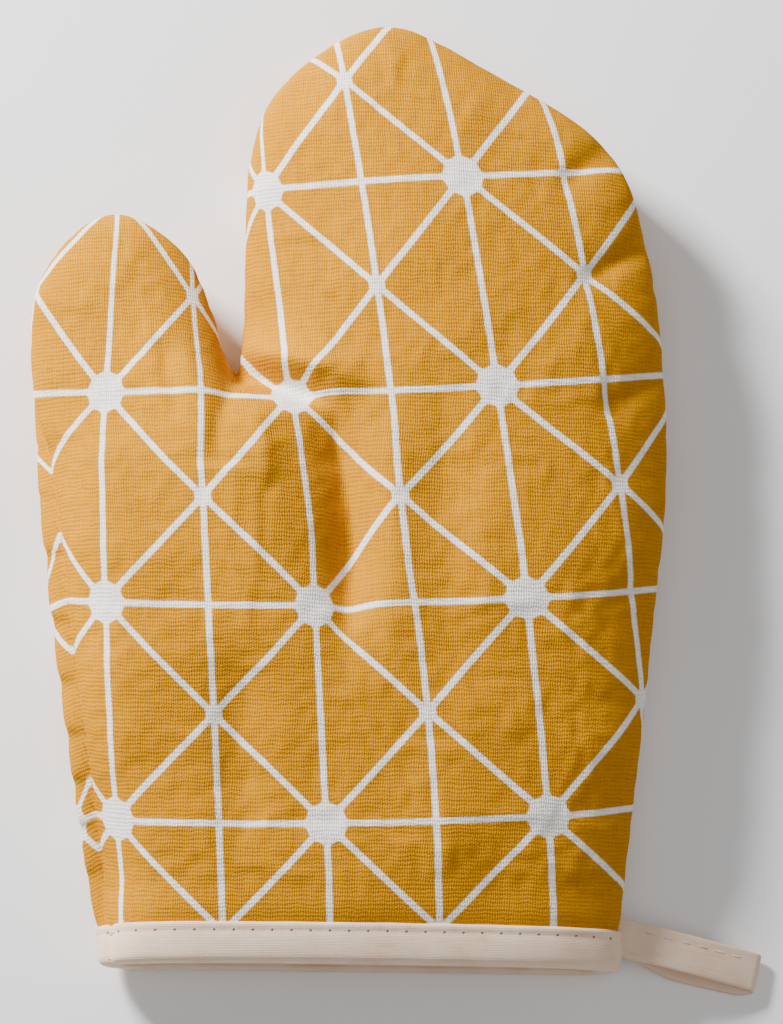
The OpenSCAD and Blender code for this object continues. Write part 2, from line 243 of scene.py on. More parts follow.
@dataclass
class Workshop:
    """Makes meshes at their place in the frame and finishes them.

    Attributes:
        mitt_length: length of the mitt.
        frames: steps in which cloth settles.
    """

    mitt_length: float
    quick: bool
    frames: int = 24

    def sew(self, name: str, points: np.ndarray, faces: list[tuple[int, ...]],
            cut: np.ndarray | None = None) -> bpy.types.Object:
        """A new mesh object.

        Args:
            name: the piece's name.
            points: places in millimetres.
            faces: corner indices of each face, anticlockwise seen from outside.
            cut: flat place in millimetres of each point, kept as the UV map in metres.

        Returns:
            The object, at the frame's origin.
        """
        mesh = bpy.data.meshes.new(name)
        mesh.from_pydata(in_frame(points, self.mitt_length).tolist(), [], faces)
        if cut is not None:
            corners = np.zeros(len(mesh.loops), np.int32)
            mesh.loops.foreach_get("vertex_index", corners)
            layer = mesh.uv_layers.new(name="cut")
            layer.data.foreach_set("uv", (np.asarray(cut)[corners] * MM).astype(np.float32).ravel())
        mesh.update()
        piece = bpy.data.objects.new(name, mesh)
        bpy.context.scene.collection.objects.link(piece)
        return piece

    def finish(self, piece: bpy.types.Object, thickness: float = 0.0, levels: int = 0) -> bpy.types.Object:
        """Rounds a piece, gives it a wall and smooth faces.

        Args:
            piece: the piece, with its faces outward.
            thickness: wall in millimetres, grown inward.
            levels: how often the mesh is subdivided first.

        Returns:
            The same piece.
        """
        if levels:
            self.apply(piece, "SUBSURF", levels=levels, render_levels=levels, uv_smooth="NONE")
        if thickness:
            self.apply(piece, "SOLIDIFY", thickness=thickness * MM, offset=-1.0)
        for face in piece.data.polygons:
            face.use_smooth = True
        return piece

    def trim(self, piece: bpy.types.Object, edge: float) -> None:
        """Brings points that stick out past the cloth's cut edge back to it.

        Args:
            piece: the cloth.
            edge: height of its cut edge in millimetres.
        """
        places = np.zeros(3 * len(piece.data.vertices))
        piece.data.vertices.foreach_get("co", places)
        places = places.reshape(-1, 3)
        places[:, 1] = np.maximum(places[:, 1], (edge - self.mitt_length / 2) * MM)
        piece.data.vertices.foreach_set("co", places.ravel())
        piece.data.update()

    @staticmethod
    def apply(piece: bpy.types.Object, kind: str, **settings: object) -> None:
        """Adds a modifier and applies it.

        Args:
            piece: the piece that gets it.
            kind: the modifier's type.
            settings: its settings by name.
        """
        modifier = piece.modifiers.new(kind.lower(), kind)
        for key, value in settings.items():
            setattr(modifier, key, value)
        bpy.ops.object.select_all(action="DESELECT")
        bpy.context.view_layer.objects.active = piece
        piece.select_set(True)
        bpy.ops.object.modifier_apply(modifier=modifier.name)

    @staticmethod
    def face_out(piece: bpy.types.Object) -> None:
        """Turns the faces of a closed piece outward.

        Args:
            piece: the piece, still without a wall.
        """
        mesh = bmesh.new()
        mesh.from_mesh(piece.data)
        bmesh.ops.recalc_face_normals(mesh, faces=mesh.faces[:])
        mesh.to_mesh(piece.data)
        mesh.free()

    @staticmethod
    def stand_in(piece: bpy.types.Object, node: str, slot: str) -> None:
        """Makes a piece ride on the mitt in place of a node.

        Args:
            piece: the piece.
            node: the node that it stands for.
            slot: the finish that it takes.
        """
        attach(piece, "mitt")
        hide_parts(node)
        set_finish(piece, slot)

    def settle(self, cloth: bpy.types.Object, held: np.ndarray, pressure: float, spare: float,
               limit: float) -> np.ndarray:
        """Lets cloth puff and wrinkle between the places where it is sewn.

        Args:
            cloth: the cloth, which is removed afterwards.
            held: 1 where a point is sewn down, and less where the padding only steadies it.
            pressure: how hard the padding pushes.
            spare: share of extra cloth.
            limit: furthest move of a point in millimetres.

        Returns:
            The points' moves in millimetres.
        """
        start = np.array([v.co for v in cloth.data.vertices])
        if self.quick:
            bpy.data.objects.remove(cloth)
            return np.zeros_like(start)
        group = cloth.vertex_groups.new(name="held")
        levels = np.round(held, 2)
        for level in np.unique(levels):
            group.add(np.flatnonzero(levels == level).tolist(), float(level), "REPLACE")
        modifier = cloth.modifiers.new("settling", "CLOTH")
        cloth_settings = modifier.settings
        cloth_settings.quality = 6
        cloth_settings.mass = 0.25
        cloth_settings.tension_stiffness = 20
        cloth_settings.compression_stiffness = 20
        cloth_settings.shear_stiffness = 6
        cloth_settings.bending_stiffness = 0.15
        cloth_settings.vertex_group_mass = "held"
        cloth_settings.pin_stiffness = 1.0
        cloth_settings.use_pressure = True
        cloth_settings.uniform_pressure_force = pressure
        cloth_settings.shrink_min = -spare
        cloth_settings.effector_weights.gravity = 0.0
        modifier.collision_settings.use_collision = False
        modifier.collision_settings.use_self_collision = False
        for frame in range(1, self.frames + 1):
            bpy.context.scene.frame_set(frame)
        done = cloth.evaluated_get(bpy.context.evaluated_depsgraph_get()).to_mesh()
        moves = (np.array([v.co for v in done.vertices]) - start) / MM
        bpy.context.scene.frame_set(1)
        bpy.data.objects.remove(cloth)
        far = np.linalg.norm(moves, axis=1)
        return moves * np.minimum(1.0, limit / np.maximum(far, 1e-9))[:, None]


def facing(points: np.ndarray, triangles: np.ndarray, rounds: int = 0) -> np.ndarray:
    """Unit normals at the points of a triangle mesh.

    Args:
        points: the mesh's points.
        triangles: indices of its triangles.
        rounds: how often the normals are evened out over neighbours.

    Returns:
        The normal at each point.
    """
    def gathered(value: np.ndarray) -> np.ndarray:
        """Sums up at each point what the triangles round it have.

        Args:
            value: one row for each triangle.

        Returns:
            One row for each point.
        """
        return np.column_stack([
            sum(np.bincount(triangles[:, k], value[:, axis], len(points)) for k in range(3))
            for axis in range(3)])

    a, b, c = (points[triangles[:, k]] for k in range(3))
    normal = gathered(np.cross(b - a, c - a))
    for _ in range(rounds):
        normal = gathered(normal[triangles].sum(1))
        normal /= np.maximum(np.linalg.norm(normal, axis=1), 1e-12)[:, None]
    return normal / np.maximum(np.linalg.norm(normal, axis=1), 1e-12)[:, None]


# ---------------------------------------------------------------------------------------------------------
# Form of the mitt


@dataclass(frozen=True)
class Fold:
    """Valley or ridge that the cloth keeps, along a line of points.

    Attributes:
        path: points of its line.
        width: its width.
        depth: how deep it goes, below 0 for a ridge.
        open_start: true where it starts at full depth, as at a seam.
        roundness: 2 for a soft hollow, towards 1 for a sharp crease.
    """

    path: tuple[Point, ...]
    width: float
    depth: float
    open_start: bool = False
    roundness: float = 2.0

    def sink(self, places: np.ndarray) -> np.ndarray:
        """How far the fold lowers the cloth.

        Args:
            places: flat places on the cloth.

        Returns:
            The depth at each place.
        """
        line = respaced(curve(self.path, 8), 2.0)
        along = walked(line) / walked(line)[-1]
        gaps = np.linalg.norm(places[:, None, :] - line[None], axis=2)
        nearest = gaps.argmin(1)
        share = along[nearest]
        fade = 1 - smooth(0.55, 1.0, share)
        if not self.open_start:
            fade = fade * smooth(0.0, 0.3, share)
        return self.depth * fade * np.exp(-((gaps.min(1) / (self.width / 2)) ** self.roundness))


@dataclass
class MittForm:
    """Outline and puffed form of the mitt.

    Attributes:
        thumb_side: outline from the cuff's left corner over the thumb to the crotch.
        hand_side: outline from the crotch over the finger tips to the cuff's right corner.
        raw_edge: height of the cloth's cut edge inside the binding.
        bound_top: height of the binding's upper edge.
        cell: side of the cloth mesh's quads.
        spare: how much wider the cut is than the seam on each side.
        swell_reach: distance in which the padding reaches its height.
        back_reach: distance in which the back panel comes down to the floor.
        crest: distances from the cuff and the palm side's height there.
        seam_rise: height of the side seam at the cuff and beyond it.
        flank_rise: how much higher the seam runs on the thumb's flank.
        fall: how steeply the back panel comes down from the seam.
        swells: height, size and seed of the soft swells over the palm side.
        pucker: height and size of the puckers along the seam.
        crotch_reach: distance from the crotch in which the cut is evened out.
        folds: the valleys and ridges that the cloth keeps.
        points: flat points of the cloth mesh, from its rim over the cuff's edge to the inside.
        triangles: its triangles.
        quads: the same faces, joined in pairs.
        rim: points along the side seam.
        cuff: points along the cuff's cut edge.
        depth_in: distance of each point from the rim.
        outward: direction to the outside at the nearest point of the rim.
        nearest_rim: that point.
        swell: share of the padding's height at each point.
        flank: 1 where the nearest point of the rim is on the thumb's flank.
        pairs: the mesh's edges.
        share: one over the number of each point's edges.
        notch: share of the spare cloth left along the rim, as little fits into the crotch.
        crotch: the flat place between thumb and hand.
    """

    thumb_side: tuple[Point, ...] = (
        (-70.3, 0.75), (-71.0, 10.3), (-77.6, 45.0), (-84.2, 89.1), (-88.8, 132.0), (-92.0, 179.3),
        (-82.5, 201.0), (-67.0, 209.5), (-49.3, 198.5), (-41.0, 181.9), (-37.0, 170.1), (-33.8, 165.0))
    hand_side: tuple[Point, ...] = (
        (-33.8, 165.0), (-32.0, 182.0), (-30.8, 225.0), (-20.1, 249.0), (7.3, 265.0), (35.8, 253.5),
        (69.5, 232.0), (81.2, 205.0), (86.2, 167.0), (86.6, 132.0), (82.0, 89.1), (73.5, 10.3), (73.0, 0.75))
    raw_edge: float = 0.75
    bound_top: float = 10.3
    cell: float = 2.1
    spare: float = 8.0
    swell_reach: float = 17.0
    back_reach: float = 20.0
    crest: tuple[Point, ...] = ((0.0, 26.5), (40.0, 34.0), (95.0, 39.0), (150.0, 38.0), (265.0, 35.0))
    seam_rise: Point = (10.0, 16.0)
    flank_rise: float = 6.0
    fall: float = 1.7
    swells: tuple[Point, ...] = ((2.4, 42.0, 3.7), (0.9, 20.0, 8.1))
    pucker: Point = (0.9, 9.0)
    crotch_reach: float = 24.0
    folds: tuple[Fold, ...] = (
        Fold(((-34, 164.5), (-26, 161.5), (-18, 158.5), (-9, 155)), 7, 9.0, True, 1.3),
        Fold(((-32, 171), (-22, 167.5), (-10, 164), (4, 160)), 8, -5.0, True, 1.6),
        Fold(((-20, 163), (-12, 154), (-5.5, 134), (-4.5, 104), (-7, 70)), 16, 9.5, False, 1.35),
        Fold(((0, 158), (6, 130), (6, 100), (3, 80)), 14, -2.2),
        Fold(((-60, 190), (-34, 125), (-26, 85)), 28, -4.0),
        Fold(((-34, 163), (-41, 150), (-42, 128)), 6, 2.4, True, 1.4),
        Fold(((-31, 158), (-27, 128)), 8, -1.6),
        Fold(((-56, 176), (-53, 145)), 7, 1.2),
        Fold(((-35, 90), (-34, 20)), 16, 2.5),
        Fold(((20, 176), (23, 120), (20, 70)), 16, 1.8),
        Fold(((84, 206), (58, 189)), 8, 2.4, True, 1.5),
        Fold(((88, 168), (62, 152)), 8, 2.0, True, 1.5),
        Fold(((86, 110), (66, 100)), 8, 1.6, True, 1.5),
        Fold(((72, 232), (52, 215)), 9, 1.6, True),
    )

    points: np.ndarray = field(init=False)
    triangles: np.ndarray = field(init=False)
    quads: list[tuple[int, ...]] = field(init=False)
    rim: np.ndarray = field(init=False)
    cuff: np.ndarray = field(init=False)
    depth_in: np.ndarray = field(init=False)
    outward: np.ndarray = field(init=False)
    nearest_rim: np.ndarray = field(init=False)
    swell: np.ndarray = field(init=False)
    flank: np.ndarray = field(init=False)
    pairs: np.ndarray = field(init=False)
    share: np.ndarray = field(init=False)
    notch: np.ndarray = field(init=False)
    crotch: np.ndarray = field(init=False)

    def __post_init__(self) -> None:
        """Cuts the flat mesh that both panels start from."""
        thumb, hand = curve(self.thumb_side), curve(self.hand_side)
        outline = respaced(np.vstack([thumb, hand[1:]]), self.cell)
        self.crotch = thumb[-1]
        normal = turned_out(outline)
        from_crotch = np.linalg.norm(outline - self.crotch, axis=1)
        self.notch = np.minimum(1.0, (0.3 + 0.22 * from_crotch) / self.spare)
        seam_line = outline - normal * self._silhouette_bulge(outline)[:, None]
        wide = seam_line + normal * (self.spare * self.notch)[:, None]
        wide[0, 1] = wide[-1, 1] = self.raw_edge
        columns = int(round((wide[-1, 0] - wide[0, 0]) / self.cell))
        mouth = np.column_stack([np.linspace(wide[-1, 0], wide[0, 0], columns + 1)[1:-1],
                                 np.full(columns - 1, self.raw_edge)])
        edge = np.vstack([wide, mouth])
        low, high = edge.min(0), edge.max(0)
        grid = np.stack(np.meshgrid(
            np.arange(low[0], high[0], self.cell), np.arange(self.raw_edge + self.cell, high[1], self.cell)),
            axis=-1).reshape(-1, 2)
        inside = self._within(grid, edge)
        room = np.min(np.linalg.norm(grid[:, None] - edge[None], axis=2), axis=1)
        grid = grid[inside & (room > 0.62 * self.cell)]
        flat = [Vector(p) for p in np.vstack([edge, grid])]
        made = delaunay_2d_cdt(flat, [], [list(range(len(edge)))[::-1]], 1, 1e-6)
        self.points = np.array([tuple(p) for p in made[0]])
        self.triangles = self._anticlockwise(np.array(made[2], int))
        self.rim, self.cuff = np.arange(len(wide)), np.concatenate(
            [[len(wide) - 1], np.arange(len(wide), len(edge)), [0]])
        self.quads = self._paired()
        gaps = np.linalg.norm(self.points[:, None] - self.points[None, self.rim], axis=2)
        self.nearest_rim = gaps.argmin(1)
        self.depth_in = gaps.min(1)
        self.outward = normal[self.nearest_rim]
        self.swell = settled_field(self.points, self.triangles, self.rim, self.swell_reach)
        self.flank = self._thumb_flank(outline)[self.nearest_rim]
        self.pairs = np.unique(np.sort(np.vstack(
            [self.triangles[:, [k, (k + 1) % 3]] for k in range(3)]), axis=1), axis=0)
        self.share = 1.0 / np.maximum(np.bincount(self.pairs.ravel(), minlength=len(self.points)), 1)
        LOG.info("cloth mesh: %d points, %d faces", len(self.points), len(self.quads))

    @staticmethod
    def _within(places: np.ndarray, edge: np.ndarray) -> np.ndarray:
        """Which places lie inside a closed outline.

        Args:
            places: flat places.
            edge: points of the outline.

        Returns:
            True for each place inside.
        """
        x, y = places.T
        inside = np.zeros(len(places), bool)
        for a, b in zip(edge, np.roll(edge, -1, axis=0)):
            spans = (a[1] > y) != (b[1] > y)
            if a[1] != b[1]:
                inside ^= spans & (x < (b[0] - a[0]) * (y - a[1]) / (b[1] - a[1]) + a[0])
        return inside

    def _anticlockwise(self, triangles: np.ndarray) -> np.ndarray:
        """Turns each triangle to look up.

        Args:
            triangles: indices of the triangles, changed in place.

        Returns:
            The same triangles.
        """
        a, b, c = (self.points[triangles[:, k]] for k in range(3))
        area = (b[:, 0] - a[:, 0]) * (c[:, 1] - a[:, 1]) - (b[:, 1] - a[:, 1]) * (c[:, 0] - a[:, 0])
        triangles[area < 0] = triangles[area < 0][:, ::-1]
        return triangles

    def _paired(self) -> list[tuple[int, ...]]:
        """Joins triangles into quads where they pair well.

        Returns:
            The corners of each face.
        """
        mesh = bmesh.new()
        corners = [mesh.verts.new((p[0], p[1], 0.0)) for p in self.points]
        for t in self.triangles:
            mesh.faces.new([corners[i] for i in t])
        mesh.verts.index_update()
        bmesh.ops.join_triangles(mesh, faces=mesh.faces[:], angle_face_threshold=3.2,
                                 angle_shape_threshold=0.9)
        faces = [tuple(v.index for v in face.verts) for face in mesh.faces]
        mesh.free()
        return faces

    def _thumb_flank(self, outline: np.ndarray) -> np.ndarray:
        """1 along the thumb side's lower seam, where the back panel rolls out past the front."""
        thumb = outline[:, 0] < 0
        return np.where(thumb, 1 - smooth(118.0, 160.0, outline[:, 1]), 0.0)

    def _silhouette_bulge(self, outline: np.ndarray) -> np.ndarray:
        """How far the seam lies inside the outline."""
        free = smooth(self.raw_edge, 30.0, outline[:, 1]) * self.notch
        return free * (2.0 + 2.0 * self._thumb_flank(outline))

    def seam_height(self) -> np.ndarray:
        """Height of the side seam.

        Returns:
            The height at the part of the seam that is nearest to each point.
        """
        x, y = self.points.T
        seam = self.seam_rise[0] + (self.seam_rise[1] - self.seam_rise[0]) * smooth(0.0, 70.0, y)
        flank = smooth(20.0, 70.0, y) * (1 - smooth(115.0, 165.0, y)) * (1 - smooth(-85.0, -25.0, x))
        return seam + self.flank_rise * flank

    def back_height(self, seam: np.ndarray, into: np.ndarray) -> np.ndarray:
        """Height of the back panel at a distance in from the seam."""
        return seam * (1 - np.minimum(into / self.back_reach, 1.0)) ** self.fall

    def height(self, side: Side) -> np.ndarray:
        """Height of a panel over the floor.

        Args:
            side: the panel.

        Returns:
            The height at each flat point.
        """
        y = self.points[:, 1]
        seam = self.seam_height()
        if side is Side.BACK:
            return self.back_height(seam, -self.swell_reach * np.log(np.maximum(1 - self.swell, 1e-6)))
        stations = curve(self.crest)
        top = np.interp(y, stations[:, 0], stations[:, 1])
        high = seam + (top - seam) * self.swell
        sunk = sum(fold.sink(self.points) for fold in self.folds)
        near = np.minimum(1.0, self.swell * 4)
        roll = sum(rise * wander(self.points, size, seed) for rise, size, seed in self.swells)
        return high + (roll * smooth(0.0, 25.0, y) - sunk) * near

    def tuck(self, side: Side) -> tuple[np.ndarray, np.ndarray]:
        """How a panel rolls in at the seam.

        Args:
            side: the panel.

        Returns:
            The spare cloth at the seam nearest to each point, and the width in which it rolls in.
        """
        notch = self.notch[self.nearest_rim]
        spare = self.spare * notch
        free = smooth(self.raw_edge, 30.0, self.points[:, 1])
        bulge = (2.0 - 6.0 * self.flank if side is Side.FRONT else 1.0 + 4.5 * self.flank) * free * notch
        bulge = np.minimum(bulge, 0.8 * spare)
        return spare, np.maximum(2 * spare - 2 * np.sign(bulge) * np.sqrt(spare * np.abs(bulge)), 0.5)

    def shaped(self, side: Side) -> np.ndarray:
        """A panel's outer face before it settles.

        Args:
            side: the panel.

        Returns:
            The place of each point.
        """
        spare, width = self.tuck(side)
        pull = spare * np.maximum(0.0, 1 - self.depth_in / width) ** 2
        flat = self.points - self.outward * pull[:, None]
        level = self.height(side)
        free = smooth(self.raw_edge, 30.0, self.points[:, 1])
        high, size = self.pucker
        pucker = np.exp(-self.depth_in / size) * self.depth_in / 5.0
        ripple = wander(np.column_stack([self.nearest_rim * self.cell, self.depth_in * 0.5]),
                        size, 1.3 if side is Side.FRONT else 5.9)
        level = level + side.up * high * pucker * ripple * free
        return np.column_stack([flat, level])

    def unrolled(self) -> np.ndarray:
        """The back panel laid flat, pushed out by the length that the cloth has down its flank.

        Returns:
            A flat place for each point.
        """
        spare, width = self.tuck(Side.BACK)
        rest = np.maximum(self.back_reach - self.depth_in, 0.0)
        depth = self.depth_in[:, None] + rest[:, None] * np.linspace(0.0, 1.0, 25)
        level = self.back_height(self.seam_height()[:, None], depth)
        aside = depth + spare[:, None] * np.maximum(0.0, 1 - depth / width[:, None]) ** 2
        length = np.hypot(np.diff(aside), np.diff(level)).sum(1)
        return self.points + self.outward * (length - rest)[:, None]

    def neighbours(self, value: np.ndarray) -> np.ndarray:
        """Mean of a value over each point's neighbours.

        Args:
            value: one row for each point.

        Returns:
            The mean for each point.
        """
        i, j = self.pairs.T
        near = [np.bincount(i, value[j, k], len(value)) + np.bincount(j, value[i, k], len(value))
                for k in range(value.shape[1])]
        return np.column_stack(near) * self.share[:, None]

    def matched(self, cut: np.ndarray, other: np.ndarray) -> np.ndarray:
        """Moves a panel's cut so that it meets another panel's cut all along the seam.

        Args:
            cut: flat places of the panel.
            other: flat places of the panel that it is sewn to.

        Returns:
            The moved places.
        """
        gap = (other - cut)[self.rim]
        move = gap[self.nearest_rim] * np.exp(-self.depth_in / 30.0)[:, None]
        for _ in range(150):
            move = self.neighbours(move)
            move[self.rim] = gap
        return cut + move

    def flattened(self, placed: np.ndarray, start: np.ndarray | None = None) -> np.ndarray:
        """Flat cut of a panel: its cloth's own lengths, laid out in the plane.

        Args:
            placed: the panel's points.
            start: flat places to begin from, the mesh's own where none are given.

        Returns:
            A flat place for each point.
        """
        i, j = self.pairs.T
        true = np.linalg.norm(placed[i] - placed[j], axis=1)
        start = self.points if start is None else start
        flat, count = start.copy(), len(start)
        for turn in range(400):
            gap = flat[j] - flat[i]
            length = np.linalg.norm(gap, axis=1)
            push = gap * ((length - true) / np.maximum(length, 1e-9))[:, None]
            for axis in range(2):
                move = np.bincount(i, push[:, axis], count) - np.bincount(j, push[:, axis], count)
                flat[:, axis] += 0.9 * self.share * move
            if turn % 20 == 19:
                moved = flat - start
                flat = start + 0.4 * moved + 0.6 * self.neighbours(moved)
        moved = even = flat - start
        for _ in range(60):
            even = self.neighbours(even)
        gap = np.linalg.norm(self.points - self.crotch, axis=1)
        near = np.exp(-(gap / self.crotch_reach) ** 2)[:, None]
        return start + moved * (1 - near) + even * near


# ---------------------------------------------------------------------------------------------------------
# Finishes


class NodeGraph:
    """A material whose colour and relief come from nodes."""

    def __init__(self, name: str) -> None:
        """Starts a material with a plain shader.

        Args:
            name: the material's name.
        """
        self.material = bpy.data.materials.new(name)
        self.material.use_nodes = True
        self.tree = self.material.node_tree
        self.shader = self.tree.nodes["Principled BSDF"]

    def link(self, source: object, socket: object) -> None:
        """Sets a socket to a number or joins it to another node's output.

        Args:
            source: the number, colour or output.
            socket: the input that it goes to.
        """
        if isinstance(source, bpy.types.NodeSocket):
            self.tree.links.new(source, socket)
        else:
            socket.default_value = source

    def add(self, kind: str, inputs: dict[str | int, object] | None = None,
            **settings: object) -> bpy.types.Node:
        """A new node.

        Args:
            kind: the node's type.
            inputs: what goes into its sockets.
            settings: its settings by name.

        Returns:
            The node.
        """
        node = self.tree.nodes.new(kind)
        for key, value in settings.items():
            setattr(node, key, value)
        for key, value in (inputs or {}).items():
            self.link(value, node.inputs[key])
        return node

    def math(self, operation: str, *values: object, clamp: bool = False) -> bpy.types.NodeSocket:
        """Result of a sum on numbers or sockets."""
        node = self.add("ShaderNodeMath", dict(enumerate(values)), operation=operation, use_clamp=clamp)
        return node.outputs[0]

    def far(self, x: object, y: object) -> bpy.types.NodeSocket:
        """Straight distance from two distances at right angles."""
        squares = (self.math("POWER", value, 2.0) for value in (x, y))
        return self.math("SQRT", self.math("ADD", *squares))

    def streaks(self, x: object, y: object, length: float, width: float) -> bpy.types.NodeSocket:
        """Thick and thin places of threads that run along x."""
        place = self.combine(self.math("DIVIDE", x, length), self.math("DIVIDE", y, width))
        return self.noise(place, 1.0, 1.0)

    def add_noise(self, value: object, noise: object, middle: float, strength: float) -> bpy.types.NodeSocket:
        """A value shifted by a noise about its middle."""
        return self.math("ADD", value, self.math("MULTIPLY", self.math("SUBTRACT", noise, middle), strength))

    def noise(self, place: object, size: float, detail: float = 2.0, distortion: float = 0.0,
              rough: float = 0.5) -> bpy.types.NodeSocket:
        """Soft noise.

        Args:
            place: where it is read.
            size: size of its blotches in the place's own unit.
            detail: how many finer layers it has.
            distortion: how far the place is bent first.
            rough: share of the finer layers.

        Returns:
            A value about 0.5.
        """
        node = self.add("ShaderNodeTexNoise", {"Vector": place, "Scale": 1.0 / size, "Detail": detail,
                                               "Distortion": distortion, "Roughness": rough})
        return node.outputs["Fac"]

    def ramp(self, value: object, low: float, high: float) -> bpy.types.NodeSocket:
        """Smooth step.

        Args:
            value: what it goes by.
            low: value at which it is 0.
            high: value at which it is 1.

        Returns:
            The step, from 0 to 1.
        """
        node = self.add("ShaderNodeMapRange", {"Value": value, "From Min": low, "From Max": high},
                        interpolation_type="SMOOTHSTEP")
        return node.outputs["Result"]

    def blend(self, share: object, first: object, second: object) -> bpy.types.NodeSocket:
        """Mix of two colours.

        Args:
            share: share of the second colour.
            first: first colour.
            second: second colour.

        Returns:
            The mixed colour.
        """
        node = self.add("ShaderNodeMix", data_type="RGBA")
        self.link(share, node.inputs["Factor"])
        self.link(first, node.inputs[6])
        self.link(second, node.inputs[7])
        return node.outputs[2]

    def combine(self, x: object, y: object, z: object = 0.0) -> bpy.types.NodeSocket:
        """A place from three numbers."""
        return self.add("ShaderNodeCombineXYZ", {"X": x, "Y": y, "Z": z}).outputs[0]

    def cut_place(self) -> tuple[bpy.types.NodeSocket, bpy.types.NodeSocket]:
        """Place on the flat cloth.

        Returns:
            The distances across and along the cloth in millimetres.
        """
        spot = self.add("ShaderNodeUVMap", uv_map="cut").outputs["UV"]
        parts = self.add("ShaderNodeSeparateXYZ", {0: spot})
        return (self.math("MULTIPLY", parts.outputs["X"], 1 / MM),
                self.math("MULTIPLY", parts.outputs["Y"], 1 / MM))

    def weave(self, x: object, y: object, warp_gap: float, weft_gap: float) -> bpy.types.NodeSocket:
        """Relief of plain-woven threads.

        Args:
            x: place across the cloth.
            y: place along it.
            warp_gap: distance between the threads that run along the cloth.
            weft_gap: distance between the threads that run across it.

        Returns:
            A value from 0 in the gaps to 1 on the threads' crowns.
        """
        across = self.math("SINE", self.math("MULTIPLY", x, math.pi / warp_gap))
        along = self.math("SINE", self.math("MULTIPLY", y, math.pi / weft_gap))
        crossing = self.math("MULTIPLY", self.math("MULTIPLY", across, along), 0.4)
        warp = self.math("MULTIPLY_ADD", self.math("ABSOLUTE", across), 0.6, crossing)
        weft = self.math("SUBTRACT", self.math("MULTIPLY", self.math("ABSOLUTE", along), 0.6), crossing)
        return self.math("MAXIMUM", warp, weft)

    def finish(self, colour: object, relief: object, depth: float, roughness: object,
               sheen: float = 0.0, shine: float = 0.15) -> bpy.types.Material:
        """Joins the finish to the shader.

        Args:
            colour: its colour.
            relief: its relief.
            depth: depth of the relief in millimetres.
            roughness: how dull it is.
            sheen: strength of its fuzz.
            shine: strength of its gloss.

        Returns:
            The material.
        """
        bump = self.add("ShaderNodeBump", {"Height": relief, "Distance": depth * MM, "Strength": 1.0})
        self.link(colour, self.shader.inputs["Base Color"])
        self.link(roughness, self.shader.inputs["Roughness"])
        self.link(bump.outputs["Normal"], self.shader.inputs["Normal"])
        self.shader.inputs["Specular IOR Level"].default_value = shine
        self.shader.inputs["Sheen Weight"].default_value = sheen
        self.shader.inputs["Sheen Roughness"].default_value = 0.45
        return self.material


def paint(red: int, green: int, blue: int) -> Colour:
    """A screen colour as linear light.

    Args:
        red: red from 0 to 255.
        green: green from 0 to 255.
        blue: blue from 0 to 255.

    Returns:
        The colour from 0 to 1, opaque.
    """
    parts = [v / 255 for v in (red, green, blue)]
    light = [p / 12.92 if p <= 0.04045 else ((p + 0.055) / 1.055) ** 2.4 for p in parts]
    return (*light, 1.0)


